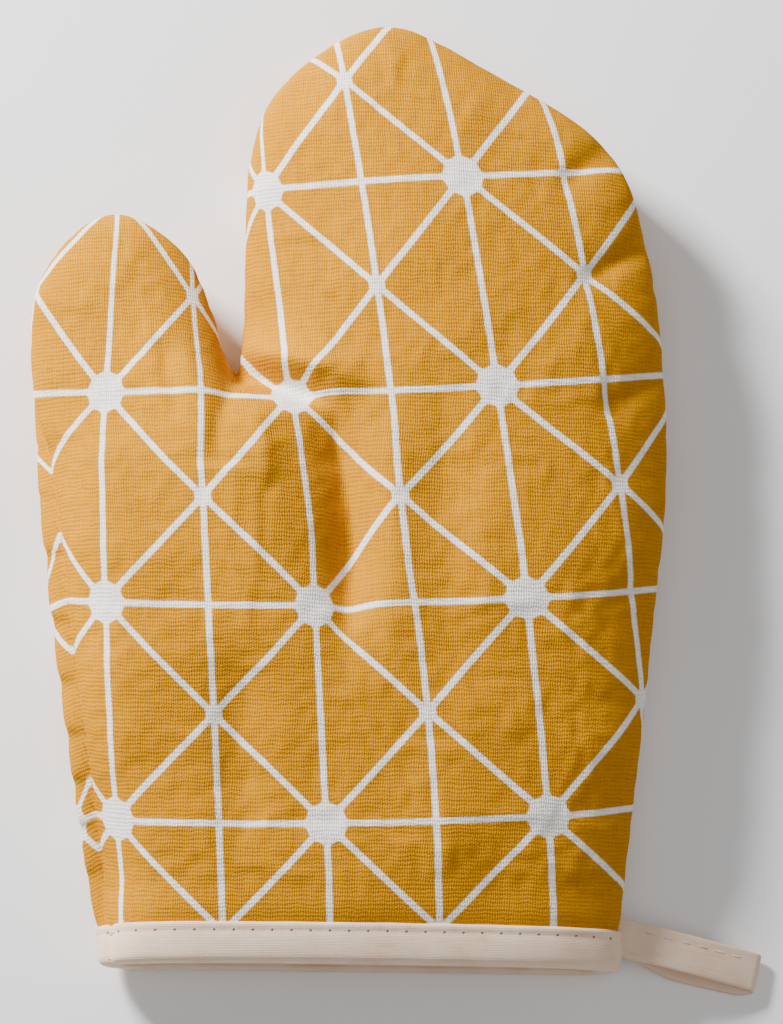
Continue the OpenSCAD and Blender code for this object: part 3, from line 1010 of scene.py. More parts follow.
@dataclass(frozen=True)
class PrintedCanvas:
    """Slubby cotton canvas with a print of hubs joined by pale lines.

    Attributes:
        ground: the ink's usual colour.
        crown_highlight: the ink on the threads' crowns, with a painted highlight.
        deep: the ink in the gaps between threads, with painted shade.
        pale: bare cloth.
        shade_in_gaps: bare cloth in the gaps between threads, with painted shade.
        columns: distance between columns of hubs.
        rows: distance between rows of hubs.
        line: width of the lines.
        hub: radius of the hubs.
        crossing: radius of the small discs between four hubs.
        thread_gaps: distance between warp threads and between weft threads.
        shift: place of one hub on the cut.
        lean: how the columns lean to the left, and how fast that grows across and along the cloth.
        spread: how fast the columns draw apart to the right.
        rise: how the rows rise to the right, and how fast that grows along the cloth.
        bow: how much the rows bend up at both ends.
        thumb_bend: how far the columns on the thumb's side move over, by powers of the place along them.
        bend_from: where the bend starts, in columns left of the placed hub. It is whole at one column.
        tip_bend: place along the columns past which the thumb's own ones bend further, and how fast.
        tip_share: how quickly that further bend sets in from where the bend starts.
        nudge: how far the whole print lies to the right of the placed hub.
        merge: how softly lines, hubs and discs run into each other.
    """

    ground: Colour = (0.56, 0.225, 0.0, 1.0)
    # The ink's colours on the crowns and in the gaps are painted highlight and painted shade on the weave.
    crown_highlight: Colour = (0.62, 0.262, 0.0, 1.0)
    deep: Colour = (0.36, 0.125, 0.0, 1.0)
    pale: Colour = (0.96, 0.92, 0.86, 1.0)
    # Bare cloth with painted shade, as it looks in the gaps between threads.
    shade_in_gaps: Colour = (0.60, 0.50, 0.42, 1.0)
    columns: float = 57.2
    rows: float = 59.9
    line: float = 1.75
    hub: float = 5.6
    crossing: float = 2.3
    thread_gaps: Point = (0.66, 1.12)
    shift: Point = (-16.0, 97.3)
    lean: Point = (0.0864, 0.00039, 0.00023)
    spread: float = 0.00078
    rise: Point = (0.022, 0.00015)
    bow: float = 0.00057
    thumb_bend: Point = (-3.8, 0.035, 0.0006)
    bend_from: float = 0.2
    tip_bend: Point = (40.0, 0.05)
    tip_share: float = 2.8
    nudge: float = 0.9
    merge: Point = (0.8, 1.4, 1.0)

    def distance_to_print(self, graph: NodeGraph, x: object, y: object) -> bpy.types.NodeSocket:
        """Distance outside the printed lines and hubs.

        Args:
            graph: the material.
            x: place across the cloth.
            y: place along it.

        Returns:
            The distance in millimetres, below 0 inside the print.
        """
        dx = graph.math("SUBTRACT", x, self.shift[0])
        dy = graph.math("SUBTRACT", y, self.shift[1])
        bend = graph.math("MULTIPLY_ADD", dy, self.thumb_bend[2], self.thumb_bend[1])
        bend = graph.math("MULTIPLY_ADD", dy, bend, self.thumb_bend[0])
        room = 1.0 - self.bend_from
        leftward = graph.math("MULTIPLY_ADD", dx, -1.0 / (room * self.columns), -self.bend_from / room)
        leftward = graph.math("MAXIMUM", leftward, 0.0)
        past = graph.math("MAXIMUM", graph.math("SUBTRACT", dy, self.tip_bend[0]), 0.0)
        tip = graph.math("MULTIPLY", past, self.tip_bend[1])
        tip = graph.math("MULTIPLY", tip, graph.math("MULTIPLY", leftward, self.tip_share, clamp=True))
        over = graph.math("MULTIPLY_ADD", leftward, bend, graph.math("ADD", tip, self.nudge))
        dx = graph.math("SUBTRACT", dx, over)
        lean = graph.math("MULTIPLY_ADD", dx, self.lean[1], self.lean[0])
        lean = graph.math("MULTIPLY_ADD", dy, self.lean[2], lean)
        spread = graph.math("MULTIPLY_ADD", dx, -self.spread, 1.0)
        across = graph.math("ADD", graph.math("MULTIPLY", dx, spread), graph.math("MULTIPLY", dy, lean))
        across = graph.math("DIVIDE", across, self.columns)
        rise = graph.math("MULTIPLY_ADD", dy, self.rise[1], self.rise[0])
        rise = graph.math("MULTIPLY_ADD", dx, self.bow, rise)
        along = graph.math("SUBTRACT", dy, graph.math("MULTIPLY", dx, rise))
        along = graph.math("DIVIDE", along, self.rows)
        period = (self.columns + self.rows) / 2

        def off_line(value: object, spacing: float, scale: float) -> bpy.types.NodeSocket:
            """Distance to the nearest of evenly spaced lines."""
            return graph.math("MULTIPLY", graph.math("PINGPONG", value, spacing / 2), scale * period)

        diagonals = [graph.math(way, across, along) for way in ("ADD", "SUBTRACT")]
        spreads = [off_line(along, 1.0, 1.0), off_line(across, 0.5, 1.0),
                   *(off_line(line, 1.0, math.sqrt(0.5)) for line in diagonals)]
        near = spreads[0]
        for spread in spreads[1:]:
            near = graph.math("SMOOTH_MIN", near, spread, self.merge[0])
        near = graph.math("SUBTRACT", near, self.line / 2)
        to_hub = (off_line(across, 1.0, 1.0), spreads[0])
        to_disc = [graph.math("SUBTRACT", period / 2, value) for value in to_hub]
        for (aside, along_it), radius, softness in ((to_hub, self.hub, self.merge[1]),
                                                    (to_disc, self.crossing, self.merge[2])):
            out = graph.math("SUBTRACT", graph.far(aside, along_it), radius)
            near = graph.math("SMOOTH_MIN", near, out, softness)
        return near

    def material(self) -> bpy.types.Material:
        """The finish as a material.

        Returns:
            The material, on the cloth's cut.
        """
        graph = NodeGraph("printed canvas")
        x, y = graph.cut_place()
        spot = graph.combine(x, y)
        wave_x = graph.math("MULTIPLY_ADD", graph.noise(spot, 4.0), 0.9, x)
        wave_y = graph.math("MULTIPLY_ADD", graph.noise(graph.combine(y, x), 4.0), 1.4, y)
        weave = graph.weave(wave_x, wave_y, *self.thread_gaps)
        slubs = graph.math("ADD", graph.streaks(x, y, 7.0, 0.8), graph.streaks(x, y, 0.8, 7.0))
        fuzz = graph.noise(spot, 0.5, 3.0, rough=0.7)
        near = graph.add_noise(self.distance_to_print(graph, x, y), weave, 0.5, 0.3)
        inked = graph.ramp(graph.add_noise(near, fuzz, 0.5, 0.6), -0.2, 0.2)
        # Painted light on the weave: the threads' crowns take the ink's painted highlight and the gaps
        # between threads take painted shade. Slubs and fuzz add the cloth's own uneven tone to the same
        # share.
        crown_light_and_slubs = graph.add_noise(graph.add_noise(weave, slubs, 1.0, 0.6), fuzz, 0.5, 0.7)
        tone = graph.ramp(crown_light_and_slubs, 0.0, 0.75)
        blotch = graph.noise(spot, 22.0, 3.0)
        ground = graph.blend(tone, self.deep, self.crown_highlight)
        ground = graph.blend(graph.math("MULTIPLY", graph.ramp(blotch, 0.3, 0.75), 0.5), ground, self.ground)
        # Painted shade on bare cloth in the gaps between threads.
        painted_gap_shade = graph.math("SUBTRACT", 1.0, graph.ramp(crown_light_and_slubs, 0.05, 0.6))
        pale = graph.blend(graph.math("MULTIPLY", painted_gap_shade, 0.9), self.pale, self.shade_in_gaps)
        colour = graph.blend(inked, pale, ground)
        relief = graph.math("ADD", weave, graph.math("MULTIPLY", slubs, 0.5))
        relief = graph.math("ADD", relief, graph.math("MULTIPLY", fuzz, 0.4))
        return graph.finish(colour, relief, 0.17, 0.95, shine=0.05)


@dataclass(frozen=True)
class PlainCotton:
    """Plain cotton cloth, tape or lining.

    Attributes:
        name: the finish's name.
        tone: colour where the cloth is lit.
        shade: colour in its gaps and folds.
        pitch: distance between threads.
        relief: depth of the weave.
        sheen: strength of its fuzz.
        hole_pitch: distance between needle holes, which are dipped and given painted shade, 0 without.
        hole_line: place of the row of holes across the cloth.
    """

    name: str
    tone: Colour
    shade: Colour
    pitch: float = 0.45
    relief: float = 0.06
    sheen: float = 0.1
    hole_pitch: float = 0.0
    hole_line: float = 0.0

    def material(self) -> bpy.types.Material:
        """The finish as a material.

        Returns:
            The material, on the cloth's cut.
        """
        graph = NodeGraph(self.name)
        x, y = graph.cut_place()
        spot = graph.combine(x, y)
        waved = graph.math("MULTIPLY_ADD", graph.noise(spot, 5.0), 0.6, x)
        weave = graph.weave(waved, y, self.pitch, self.pitch)
        slub = graph.streaks(x, y, 9.0, 0.5)
        tone = graph.math("ADD", graph.math("MULTIPLY", weave, 0.5), graph.math("MULTIPLY", slub, 0.5))
        tone = graph.add_noise(tone, graph.noise(spot, 12.0, 3.0), 0.5, 0.8)
        colour = graph.blend(graph.ramp(tone, 0.05, 0.7), self.shade, self.tone)
        relief = graph.math("ADD", weave, graph.math("MULTIPLY", slub, 0.5))
        # Needle holes: a dip in the relief, and a darker colour that is painted shade inside the holes.
        if self.hole_pitch:
            step = graph.math("PINGPONG", x, self.hole_pitch / 2)
            off = graph.far(step, graph.math("SUBTRACT", y, self.hole_line))
            hole_dip_and_shade = graph.math("SUBTRACT", 1.0, graph.ramp(off, 0.2, 0.55))
            colour = graph.blend(hole_dip_and_shade, colour, paint(140, 98, 68))
            relief = graph.math("SUBTRACT", relief, graph.math("MULTIPLY", hole_dip_and_shade, 3.0))
        return graph.finish(colour, relief, self.relief, 0.8, sheen=self.sheen)


@dataclass(frozen=True)
class SpunFill:
    """Carded polyester batting or twisted thread: fine fibres over a soft tone.

    Attributes:
        name: the finish's name.
        tone: colour where the fibres are lit.
        shade: colour between them.
        fibre: size of the fibres.
        relief: depth of their relief.
    """

    name: str
    tone: Colour
    shade: Colour
    fibre: float = 0.4
    relief: float = 0.15

    def material(self) -> bpy.types.Material:
        """The finish as a material.

        Returns:
            The material, on the piece's own place.
        """
        graph = NodeGraph(self.name)
        place = graph.add("ShaderNodeTexCoord").outputs["Object"]
        fine = graph.noise(place, self.fibre * MM, 4.0, distortion=1.5, rough=0.7)
        wide = graph.noise(place, self.fibre * 14 * MM, 2.0)
        tone = graph.ramp(graph.math("MULTIPLY_ADD", wide, 0.6, graph.math("MULTIPLY", fine, 0.6)), 0.35, 0.8)
        return graph.finish(graph.blend(tone, self.shade, self.tone), fine, self.relief, 0.9, sheen=0.05)


# ---------------------------------------------------------------------------------------------------------
# Pieces


@dataclass
class Shell:
    """The mitt's three layers of cloth and padding, each a front and a back panel.

    Attributes:
        cloth: thickness of the outer canvas.
        lining: thickness of the lining.
        padding: thickness of the batting at the seam, at the crest and at the cuff.
        clearance: gap between two layers.
        slack_at_seam: further gap between canvas and batting along the seam.
        pressure: how hard the padding pushes the front and the back panel.
        spare: share of extra cloth that wrinkles as it settles.
        furthest: furthest move of a point as the cloth settles.
        steadied: how much the padding steadies the front panel's middle and the back panel.
        back_rise: how far the back panel lies over the floor at the cuff.
        pressed: how far the binding presses the canvas in.
        proud: how far the canvas bulges above the binding.
        turn_in: depths to which the canvas turns in at the seam.
        faces_out: the points of each panel's outer face.
        cuts: the flat cut of each panel.
        sheets: what each panel was cut from.
    """

    shop: Workshop
    form: MittForm
    cloth: float = 0.8
    lining: float = 0.5
    padding: Point = (2.0, 5.0, 2.5)
    clearance: float = 0.15
    slack_at_seam: float = 1.6
    pressure: Point = (3.0, 1.0)
    spare: float = 0.017
    furthest: float = 3.5
    steadied: Point = (0.3, 0.5)
    back_rise: float = 1.1
    pressed: float = 0.45
    proud: float = 0.35
    turn_in: Point = (0.45, 1.0)
    faces_out: dict[Side, np.ndarray] = field(default_factory=dict)
    cuts: dict[Side, np.ndarray] = field(default_factory=dict)
    sheets: list[tuple[bpy.types.Object, Point, float, str]] = field(default_factory=list)

    def faces(self, side: Side) -> list[tuple[int, ...]]:
        """The panel's faces, outward."""
        return [f if side is Side.FRONT else f[::-1] for f in self.form.quads]

    def settle(self) -> None:
        """Puffs both outer panels and lays out their cut."""
        form = self.form
        y = form.points[:, 1]
        low = self.back_rise * (1 - smooth(14.0, 40.0, y))
        pressed = self.pressed * (1 - smooth(form.bound_top - 0.5, form.bound_top + 1.5, y))
        proud = self.proud * np.exp(-(((y - form.bound_top - 4.5) / 3.5) ** 2))
        middle, back = self.steadied
        for side in Side:
            start = form.shaped(side)
            held = middle + 0.3 * (1 - smooth(6.0, 22.0, form.depth_in))
            held = np.maximum(held, middle + (1 - middle) * (1 - smooth(10.0, 26.0, y)))
            held[form.rim] = 1.0
            if side is Side.BACK:
                held = np.maximum(held, back)
            cloth = self.shop.sew("settling", start, self.faces(side))
            push = self.pressure[0 if side is Side.FRONT else 1]
            moves = self.shop.settle(cloth, held, push, self.spare, self.furthest)
            moves[form.rim] = 0.0
            placed = start + moves
            normal = facing(placed, form.triangles, 2) * side.up
            placed = placed + normal * ((proud - pressed) * np.minimum(1, form.depth_in / 6))[:, None]
            placed[:, 2] = np.maximum(placed[:, 2], low)
            self.faces_out[side] = placed
            if side is Side.FRONT:
                self.cuts[side] = form.flattened(placed)
            else:
                self.cuts[side] = form.matched(form.flattened(placed, form.unrolled()), self.cuts[Side.FRONT])
            LOG.info("%s panel settled: furthest move %.1f mm", side.value,
                     float(np.linalg.norm(moves, axis=1).max()))

    def build_outer(self) -> None:
        """The two printed panels, turned in along the seam."""
        form = self.form
        for side in Side:
            placed = self.faces_out[side].copy()
            placed[form.rim, 2] += side.up * 0.15
            count, rim = len(placed), form.rim
            turn = -np.column_stack([form.outward[rim], np.zeros(len(rim))])
            rings = [placed[rim] + turn * depth - [0, 0, side.up * drop]
                     for depth, drop in zip(self.turn_in, (0.1, 0.12))]
            cut = np.vstack([self.cuts[side], *(self.cuts[side][rim] + form.outward[rim] * depth
                                               for depth in self.turn_in)])
            faces = self.faces(side)
            for ring in range(2):
                before = rim if ring == 0 else count + (ring - 1) * len(rim) + np.arange(len(rim))
                after = count + ring * len(rim) + np.arange(len(rim))
                for k in range(len(rim) - 1):
                    face = (before[k], before[k + 1], after[k + 1], after[k])
                    faces.append(tuple(int(i) for i in (face if side is Side.FRONT else face[::-1])))
            piece = self.shop.sew(f"outer_{side.value}_canvas", np.vstack([placed, *rings]), faces, cut)
            self.shop.finish(piece, self.cloth, 1)
            self.shop.trim(piece, form.raw_edge - 0.2)
            self.shop.stand_in(piece, f"outer_{side.value}", "printed_canvas")
            self.measure(piece, cut, f"batting_{side.value}_pad")

    def measure(self, piece: bpy.types.Object, cut: np.ndarray, under: str) -> None:
        """Notes what size of cloth a panel was cut from.

        Args:
            piece: the panel.
            cut: flat place of each of its points.
            under: the piece that it rests on.
        """
        a, b, c = (cut[self.form.triangles[:, k]] for k in range(3))
        across, along = b - a, c - a
        area = np.abs(across[:, 0] * along[:, 1] - across[:, 1] * along[:, 0]).sum() / 2
        size = (cut.max(0) - cut.min(0)) * MM
        LOG.info("%s: cut %.0f x %.0f mm, %.0f cm2", piece.name, size[0] / MM, size[1] / MM, area / 100)
        self.sheets.append((piece, tuple(size), float(area) * MM * MM, under))

    def inset(self, side: Side, at_seam: float, at_crest: float, at_cuff: float) -> np.ndarray:
        """The outer face moved inward.

        Args:
            side: the panel.
            at_seam: depth at the seam.
            at_crest: depth at the crest.
            at_cuff: depth at the cuff.

        Returns:
            The place of each point.
        """
        form = self.form
        placed = self.faces_out[side]
        normal = facing(placed, form.triangles, 6) * side.up
        level = -np.column_stack([form.outward, np.zeros(len(placed))])
        deep = at_seam + (at_crest - at_seam) * smooth(0.0, 26.0, form.depth_in)
        y = form.points[:, 1]
        deep = at_cuff + (deep - at_cuff) * smooth(form.raw_edge + 8, 45.0, y)
        turn = smooth(0.0, 10.0, form.depth_in)[:, None]
        way = level * (1 - turn) - normal * turn
        way /= np.maximum(np.linalg.norm(way, axis=1), 1e-9)[:, None]
        moved = placed + way * deep[:, None]
        kept = np.maximum(moved[:, 1], form.raw_edge)
        moved[:, 1] = np.where(y <= form.raw_edge + 0.01, form.raw_edge, kept)
        return moved

    def build_batting(self) -> None:
        """The quilted fill inside each outer panel."""
        form = self.form
        near = self.cloth + self.clearance
        for side in Side:
            outer = self.inset(side, near + self.slack_at_seam, near, near)
            inner = self.inset(side, *(near + t for t in self.padding))
            faces = self.faces(side)
            count = len(outer)
            faces += [tuple(i + count for i in f[::-1]) for f in self.faces(side)]
            loop = [*form.rim.tolist(), *form.cuff.tolist()[1:-1]]
            for a, b in zip(loop, loop[1:] + loop[:1]):
                face = (a, b, b + count, a + count)
                faces.append(face if side is Side.FRONT else face[::-1])
            piece = self.shop.sew(f"batting_{side.value}_pad", np.vstack([outer, inner]), faces)
            self.shop.finish(piece)
            self.shop.stand_in(piece, f"batting_{side.value}", "batting")

    def build_lining(self) -> None:
        """The two lining panels that the hand touches."""
        form = self.form
        gap = self.cloth + 2 * self.clearance
        for side in Side:
            placed = self.inset(side, *(gap + t for t in self.padding))
            normal = facing(placed, form.triangles, 1)
            quilt = 0.5 * wander(form.points, 15.0, 11.0) + 0.35 * wander(form.points, 7.0, 17.0)
            quilt = np.abs(quilt) * smooth(16.0, 40.0, form.points[:, 1]) * smooth(3.0, 14.0, form.depth_in)
            placed = placed - side.up * normal * quilt[:, None]
            placed[form.rim, 2] += side.up * 0.2
            faces = [f[::-1] for f in self.faces(side)]
            cut = form.flattened(placed)
            piece = self.shop.sew(f"lining_{side.value}_cotton", placed, faces, cut)
            self.shop.finish(piece, self.lining)
            self.shop.stand_in(piece, f"lining_{side.value}", "lining_cotton")
            self.measure(piece, cut, f"batting_{side.value}_pad")


@dataclass
class SeamThreads:
    """Lockstitch thread in the grooves of the outer seam and of the lining's seam.

    Attributes:
        radius: half the thread's thickness.
        stitch: length of a stitch.
        dip: how far the thread swings from side to side along each stitch.
        sides: sides of the thread's section.
    """

    shop: Workshop
    shell: Shell
    radius: float = 0.2
    stitch: float = 3.0
    dip: float = 0.12
    sides: int = 6

    def tube(self, name: str, line: np.ndarray) -> bpy.types.Object:
        """A thread that dips in and out along a line.

        Args:
            name: the piece's name.
            line: points of the line.

        Returns:
            The piece.
        """
        line = respaced(line, 0.75)
        along = walked(line)
        step = np.gradient(line, axis=0)
        step /= np.linalg.norm(step, axis=1)[:, None]
        level = np.column_stack([-step[:, 1], step[:, 0], np.zeros(len(line))])
        level /= np.linalg.norm(level, axis=1)[:, None]
        lift = np.cross(step, level)
        line = line + level * (self.dip * np.cos(along * 2 * math.pi / self.stitch))[:, None]
        sides = self.sides
        points, faces = [], []
        for k in range(sides):
            a = 2 * math.pi * k / sides
            points.append(line + self.radius * (math.cos(a) * level + math.sin(a) * lift))
        points = np.stack(points, axis=1).reshape(-1, 3)
        for i in range(len(line) - 1):
            for k in range(sides):
                n = (k + 1) % sides
                faces.append((i * sides + k, i * sides + n, (i + 1) * sides + n, (i + 1) * sides + k))
        last = (len(line) - 1) * sides
        faces.append(tuple(reversed(range(sides))))
        faces.append(tuple(range(last, last + sides)))
        piece = self.shop.sew(name, points, faces)
        self.shop.face_out(piece)
        return self.shop.finish(piece)

    def build(self) -> None:
        """Both threads."""
        form = self.shell.form
        rim = form.rim[form.points[form.rim, 1] > form.bound_top - 2]
        outer = self.shell.faces_out[Side.FRONT][rim]
        inward = -np.column_stack([form.outward[rim], np.zeros(len(rim))])
        depth = self.shell.cloth + 2 * self.shell.clearance + self.shell.padding[0]
        for name, line in (("outer_seam_thread", outer + inward * 0.3),
                           ("lining_seam_thread", outer + inward * (depth + 0.4))):
            self.shop.stand_in(self.tube(f"{name}_run", line), name, "seam_thread")


@dataclass
class CuffBinding:
    """Bias tape folded over the cuff's raw edge, and its row of stitches.

    Attributes:
        tape: thickness of the folded tape.
        inset_row: distance of the stitch row from the tape's edge.
        pitch: distance between stitches.
        stitch: length of a stitch.
        stitch_lift: how far the stitches lie on the tape.
        ring_gap: distance between points round the cuff.
        overlap: how many of those points the tape's two ends share.
        lap: how far the tape's upper end stands off, as it lies over the lower one.
        pinch: how far the tape is pressed in beside the thumb's corner.
        piece: the tape.
        size: the flat tape's width and length in metres.
        row_place: the stitch row's place across the flat tape.
    """

    shop: Workshop
    shell: Shell
    tape: float = 0.6
    inset_row: float = 2.0
    pitch: float = 5.3
    stitch: float = 4.0
    stitch_lift: float = 0.2
    ring_gap: float = 1.3
    overlap: int = 2
    lap: float = 0.7
    pinch: float = 1.3
    piece: bpy.types.Object = field(init=False)
    size: Point = field(init=False)
    row_place: float = field(init=False)

    @property
    def heights(self) -> Point:
        """Heights over the cuff's edge at which the tape follows the cloth."""
        return (self.shell.form.raw_edge, 4.0, 7.0, self.shell.form.bound_top)

    @property
    def seam_row(self) -> float:
        """Height of the stitch row over the cuff's edge."""
        return self.shell.form.bound_top - self.inset_row

    def ring(self) -> tuple[np.ndarray, np.ndarray]:
        """The tape's line round the cuff.

        It starts just inside the front panel's right end, turns down over the corner, runs under the
        back panel to the thumb's corner and comes back over the front panel, past where it started.

        Returns:
            The points of the line, and which of them lie on the front panel.
        """
        form = self.shell.form
        under = respaced(self.shell.faces_out[Side.BACK][form.cuff], self.ring_gap)
        over = respaced(self.shell.faces_out[Side.FRONT][form.cuff[::-1]], self.ring_gap)
        start = over[-1 - self.overlap:-1]
        on_front = np.concatenate([np.ones(len(start), bool), np.zeros(len(under), bool),
                                   np.ones(len(over) - 1, bool)])
        return np.vstack([start, under, over[1:]]), on_front

    def cloth_lines(self, ring: np.ndarray, on_front: np.ndarray) -> np.ndarray:
        """The outer cloth's own lines round the cuff at each of the heights.

        Args:
            ring: the tape's line.
            on_front: which of its points lie on the front panel.

        Returns:
            The places, by height, point and axis.
        """
        length = self.shop.mitt_length
        trees = [BVHTree.FromPolygons(in_frame(self.shell.faces_out[side], length).tolist(),
                                      self.shell.faces(side)) for side in Side]
        lines = []
        for y in self.heights:
            spots = [Vector(in_frame(np.array([p[0], y, p[2]]), length)) for p in ring]
            rows = []
            for tree in trees:
                hits = [tree.find_nearest(spot)[0] for spot in spots]
                rows.append(np.array([(hit.x / MM, y, hit.z / MM) for hit in hits]))
            lines.append(np.where(on_front[:, None], rows[0], rows[1]))
        return np.stack(lines)

    def cloth_at(self, lines: np.ndarray, y: float) -> np.ndarray:
        """The outer cloth's line round the cuff at any height.

        Args:
            lines: its lines at the heights.
            y: the height wanted.

        Returns:
            The places.
        """
        held = np.clip(y, self.heights[0], self.heights[-1])
        base = np.zeros(lines.shape[1:])
        for axis in (0, 2):
            base[:, axis] = [np.interp(held, self.heights, row) for row in lines[:, :, axis].T]
        base[:, 1] = y
        return base

    def profile(self) -> list[Point]:
        """The folded tape's section.

        Returns:
            Height over the cuff's edge and distance out from the cloth, from the front edge round the
            fold to the edge inside the cuff.
        """
        shell, tape, top, row = self.shell, self.tape, self.shell.form.bound_top, self.seam_row
        wall = shell.cloth + shell.padding[2] + shell.lining + 2 * shell.clearance
        inside = -wall - tape
        return [(top - 0.5, 0.10), (top, 0.35), (top - 0.15, tape), (row + 1.0, tape + 0.1),
                (row, tape - 0.2), (row - 1.0, tape + 0.15), (row - 3.5, tape + 0.3), (3.0, tape + 0.25),
                (1.1, tape + 0.15),
                (0.25, 0.1), (0.0, -1.0), (0.0, -wall + 1.0), (0.25, -wall - 0.1), (1.1, inside - 0.1),
                (5.0, inside - 0.1), (row, inside + 0.2), (top - 0.4, inside), (top - 0.2, -wall - 0.2)]

    def build(self) -> None:
        """The binding and its stitches."""
        ring, on_front = self.ring()
        count, along = len(ring), walked(ring)
        lines = self.cloth_lines(ring, on_front)
        step = np.gradient(ring[:, [0, 2]], axis=0)
        for _ in range(4):
            step[1:-1] = (step[:-2] + 2 * step[1:-1] + step[2:]) / 4
        normal = np.column_stack([-step[:, 1], step[:, 0]])
        normal /= np.linalg.norm(normal, axis=1)[:, None]
        out = np.column_stack([normal[:, 0], np.zeros(count), normal[:, 1]])
        lapped = self.lap * smooth(along[-1] - 9.0, along[-1] - 2.0, along)
        corner = along[np.flatnonzero(~on_front)[-1]]
        pressed = lapped - self.pinch * np.exp(-(((along - corner - 5.0) / 1.5) ** 2))
        wave = wander(np.column_stack([along, np.zeros(count)]), 9.0, 2.2)
        phase = np.abs(((along / self.pitch) % 1.0) - 0.5) * 2
        rows, cut_rows = [], []
        walk = 0.0
        for y, lift in self.profile():
            base = self.cloth_at(lines, y)
            side = 1 if lift > 0 else -1
            extra = 0.10 * wave * side
            if y == self.seam_row:
                extra = extra + (0.16 * phase - 0.1) * side
            if self.shell.form.bound_top - y < 0.2 and lift > 0:
                base[:, 1] += 0.12 * wave
            row = base + out * (lift + extra + pressed * (lift > -1))[:, None]
            row[:, 2] = np.maximum(row[:, 2], 0.0 if lift > 0 else 0.7)
            if rows:
                walk += float(np.linalg.norm(row - rows[-1], axis=1).mean())
            if y == self.seam_row and lift > 0:
                self.row_place = walk
            rows.append(row)
            cut_rows.append(np.column_stack([along, np.full(count, walk)]))
        faces = [(r * count + k, r * count + k + 1, (r + 1) * count + k + 1, (r + 1) * count + k)
                 for r in range(len(rows) - 1) for k in range(count - 1)]
        self.piece = self.shop.sew("cuff_binding_tape", np.vstack(rows), faces, np.vstack(cut_rows))
        self.shop.finish(self.piece, self.tape * 0.8, 1)
        self.shop.stand_in(self.piece, "cuff_binding", "bias_tape")
        self.size = (walk * MM, float(along[-1]) * MM)
        base = self.cloth_at(lines, self.seam_row)
        self.build_stitches(base + out * (self.tape + self.stitch_lift + lapped)[:, None], out, along[-1])

    def build_stitches(self, line: np.ndarray, out: np.ndarray, way: float) -> None:
        """The row of stitches just below the binding's upper edge.

        Args:
            line: the row's line on the tape.
            out: direction out of the tape at each of its points.
            way: way round the cuff's edge, which the row's own line shortens a little.
        """
        starts = np.arange(1, int(way / self.pitch)) * self.pitch + (self.pitch - self.stitch) / 2
        starts *= walked(line)[-1] / way
        piece = stitch_row(self.shop, "binding_stitch_row", line, out, starts, self.stitch)
        self.shop.stand_in(piece, "binding_stitches", "stitch_thread")


def thread_grain() -> tuple[np.ndarray, list[tuple[int, ...]]]:
    """One plump stitch, 1 long along X, 1 wide and 1 high.

    Returns:
        Its points, and the corners of its faces.
    """
    bpy.ops.object.select_all(action="DESELECT")
    bpy.ops.mesh.primitive_uv_sphere_add(segments=8, ring_count=5, radius=0.5, rotation=(0, math.pi / 2, 0))
    grain = bpy.context.object
    bpy.ops.object.transform_apply(location=True, rotation=True, scale=True)
    points = np.array([v.co for v in grain.data.vertices])
    faces = [tuple(f.vertices) for f in grain.data.polygons]
    bpy.data.objects.remove(grain)
    points[:, 0] = np.sign(points[:, 0]) * (np.abs(points[:, 0]) * 2) ** 0.6 / 2
    return points, faces


def stitch_row(shop: Workshop, name: str, line: np.ndarray, out: np.ndarray, starts: np.ndarray,
               length: float, width: float = 0.5) -> bpy.types.Object:
    """Stitches laid along a line.

    Args:
        shop: makes the mesh.
        name: the piece's name.
        line: the line on the cloth.
        out: direction out of the cloth at each of its points.
        starts: where the stitches start along the line.
        length: length of a stitch.
        width: width of the thread.

    Returns:
        The piece.
    """
    grain, faces = thread_grain()
    along = walked(line)
    points, all_faces = [], []
    for start in starts:
        ends = [np.array([np.interp(start + d, along, line[:, k]) for k in range(3)]) for d in (0.0, length)]
        up = np.array([np.interp(start + length / 2, along, out[:, k]) for k in range(3)])
        way = ends[1] - ends[0]
        way /= np.linalg.norm(way)
        side = np.cross(up, way)
        side /= np.linalg.norm(side)
        up = np.cross(way, side)
        share = grain[:, 0] + 0.5
        middle = np.column_stack([np.interp(start + share * length, along, line[:, k]) for k in range(3)])
        dip = -0.28 * (2 * share - 1) ** 4
        local = middle + side * (grain[:, 1] * width)[:, None]
        local = local + up * (grain[:, 2] * width * 0.7 + dip)[:, None]
        all_faces += [tuple(i + len(points) * len(grain) for i in f) for f in faces]
        points.append(local)
    piece = shop.sew(name, np.vstack(points), all_faces)
    shop.face_out(piece)
    return shop.finish(piece)


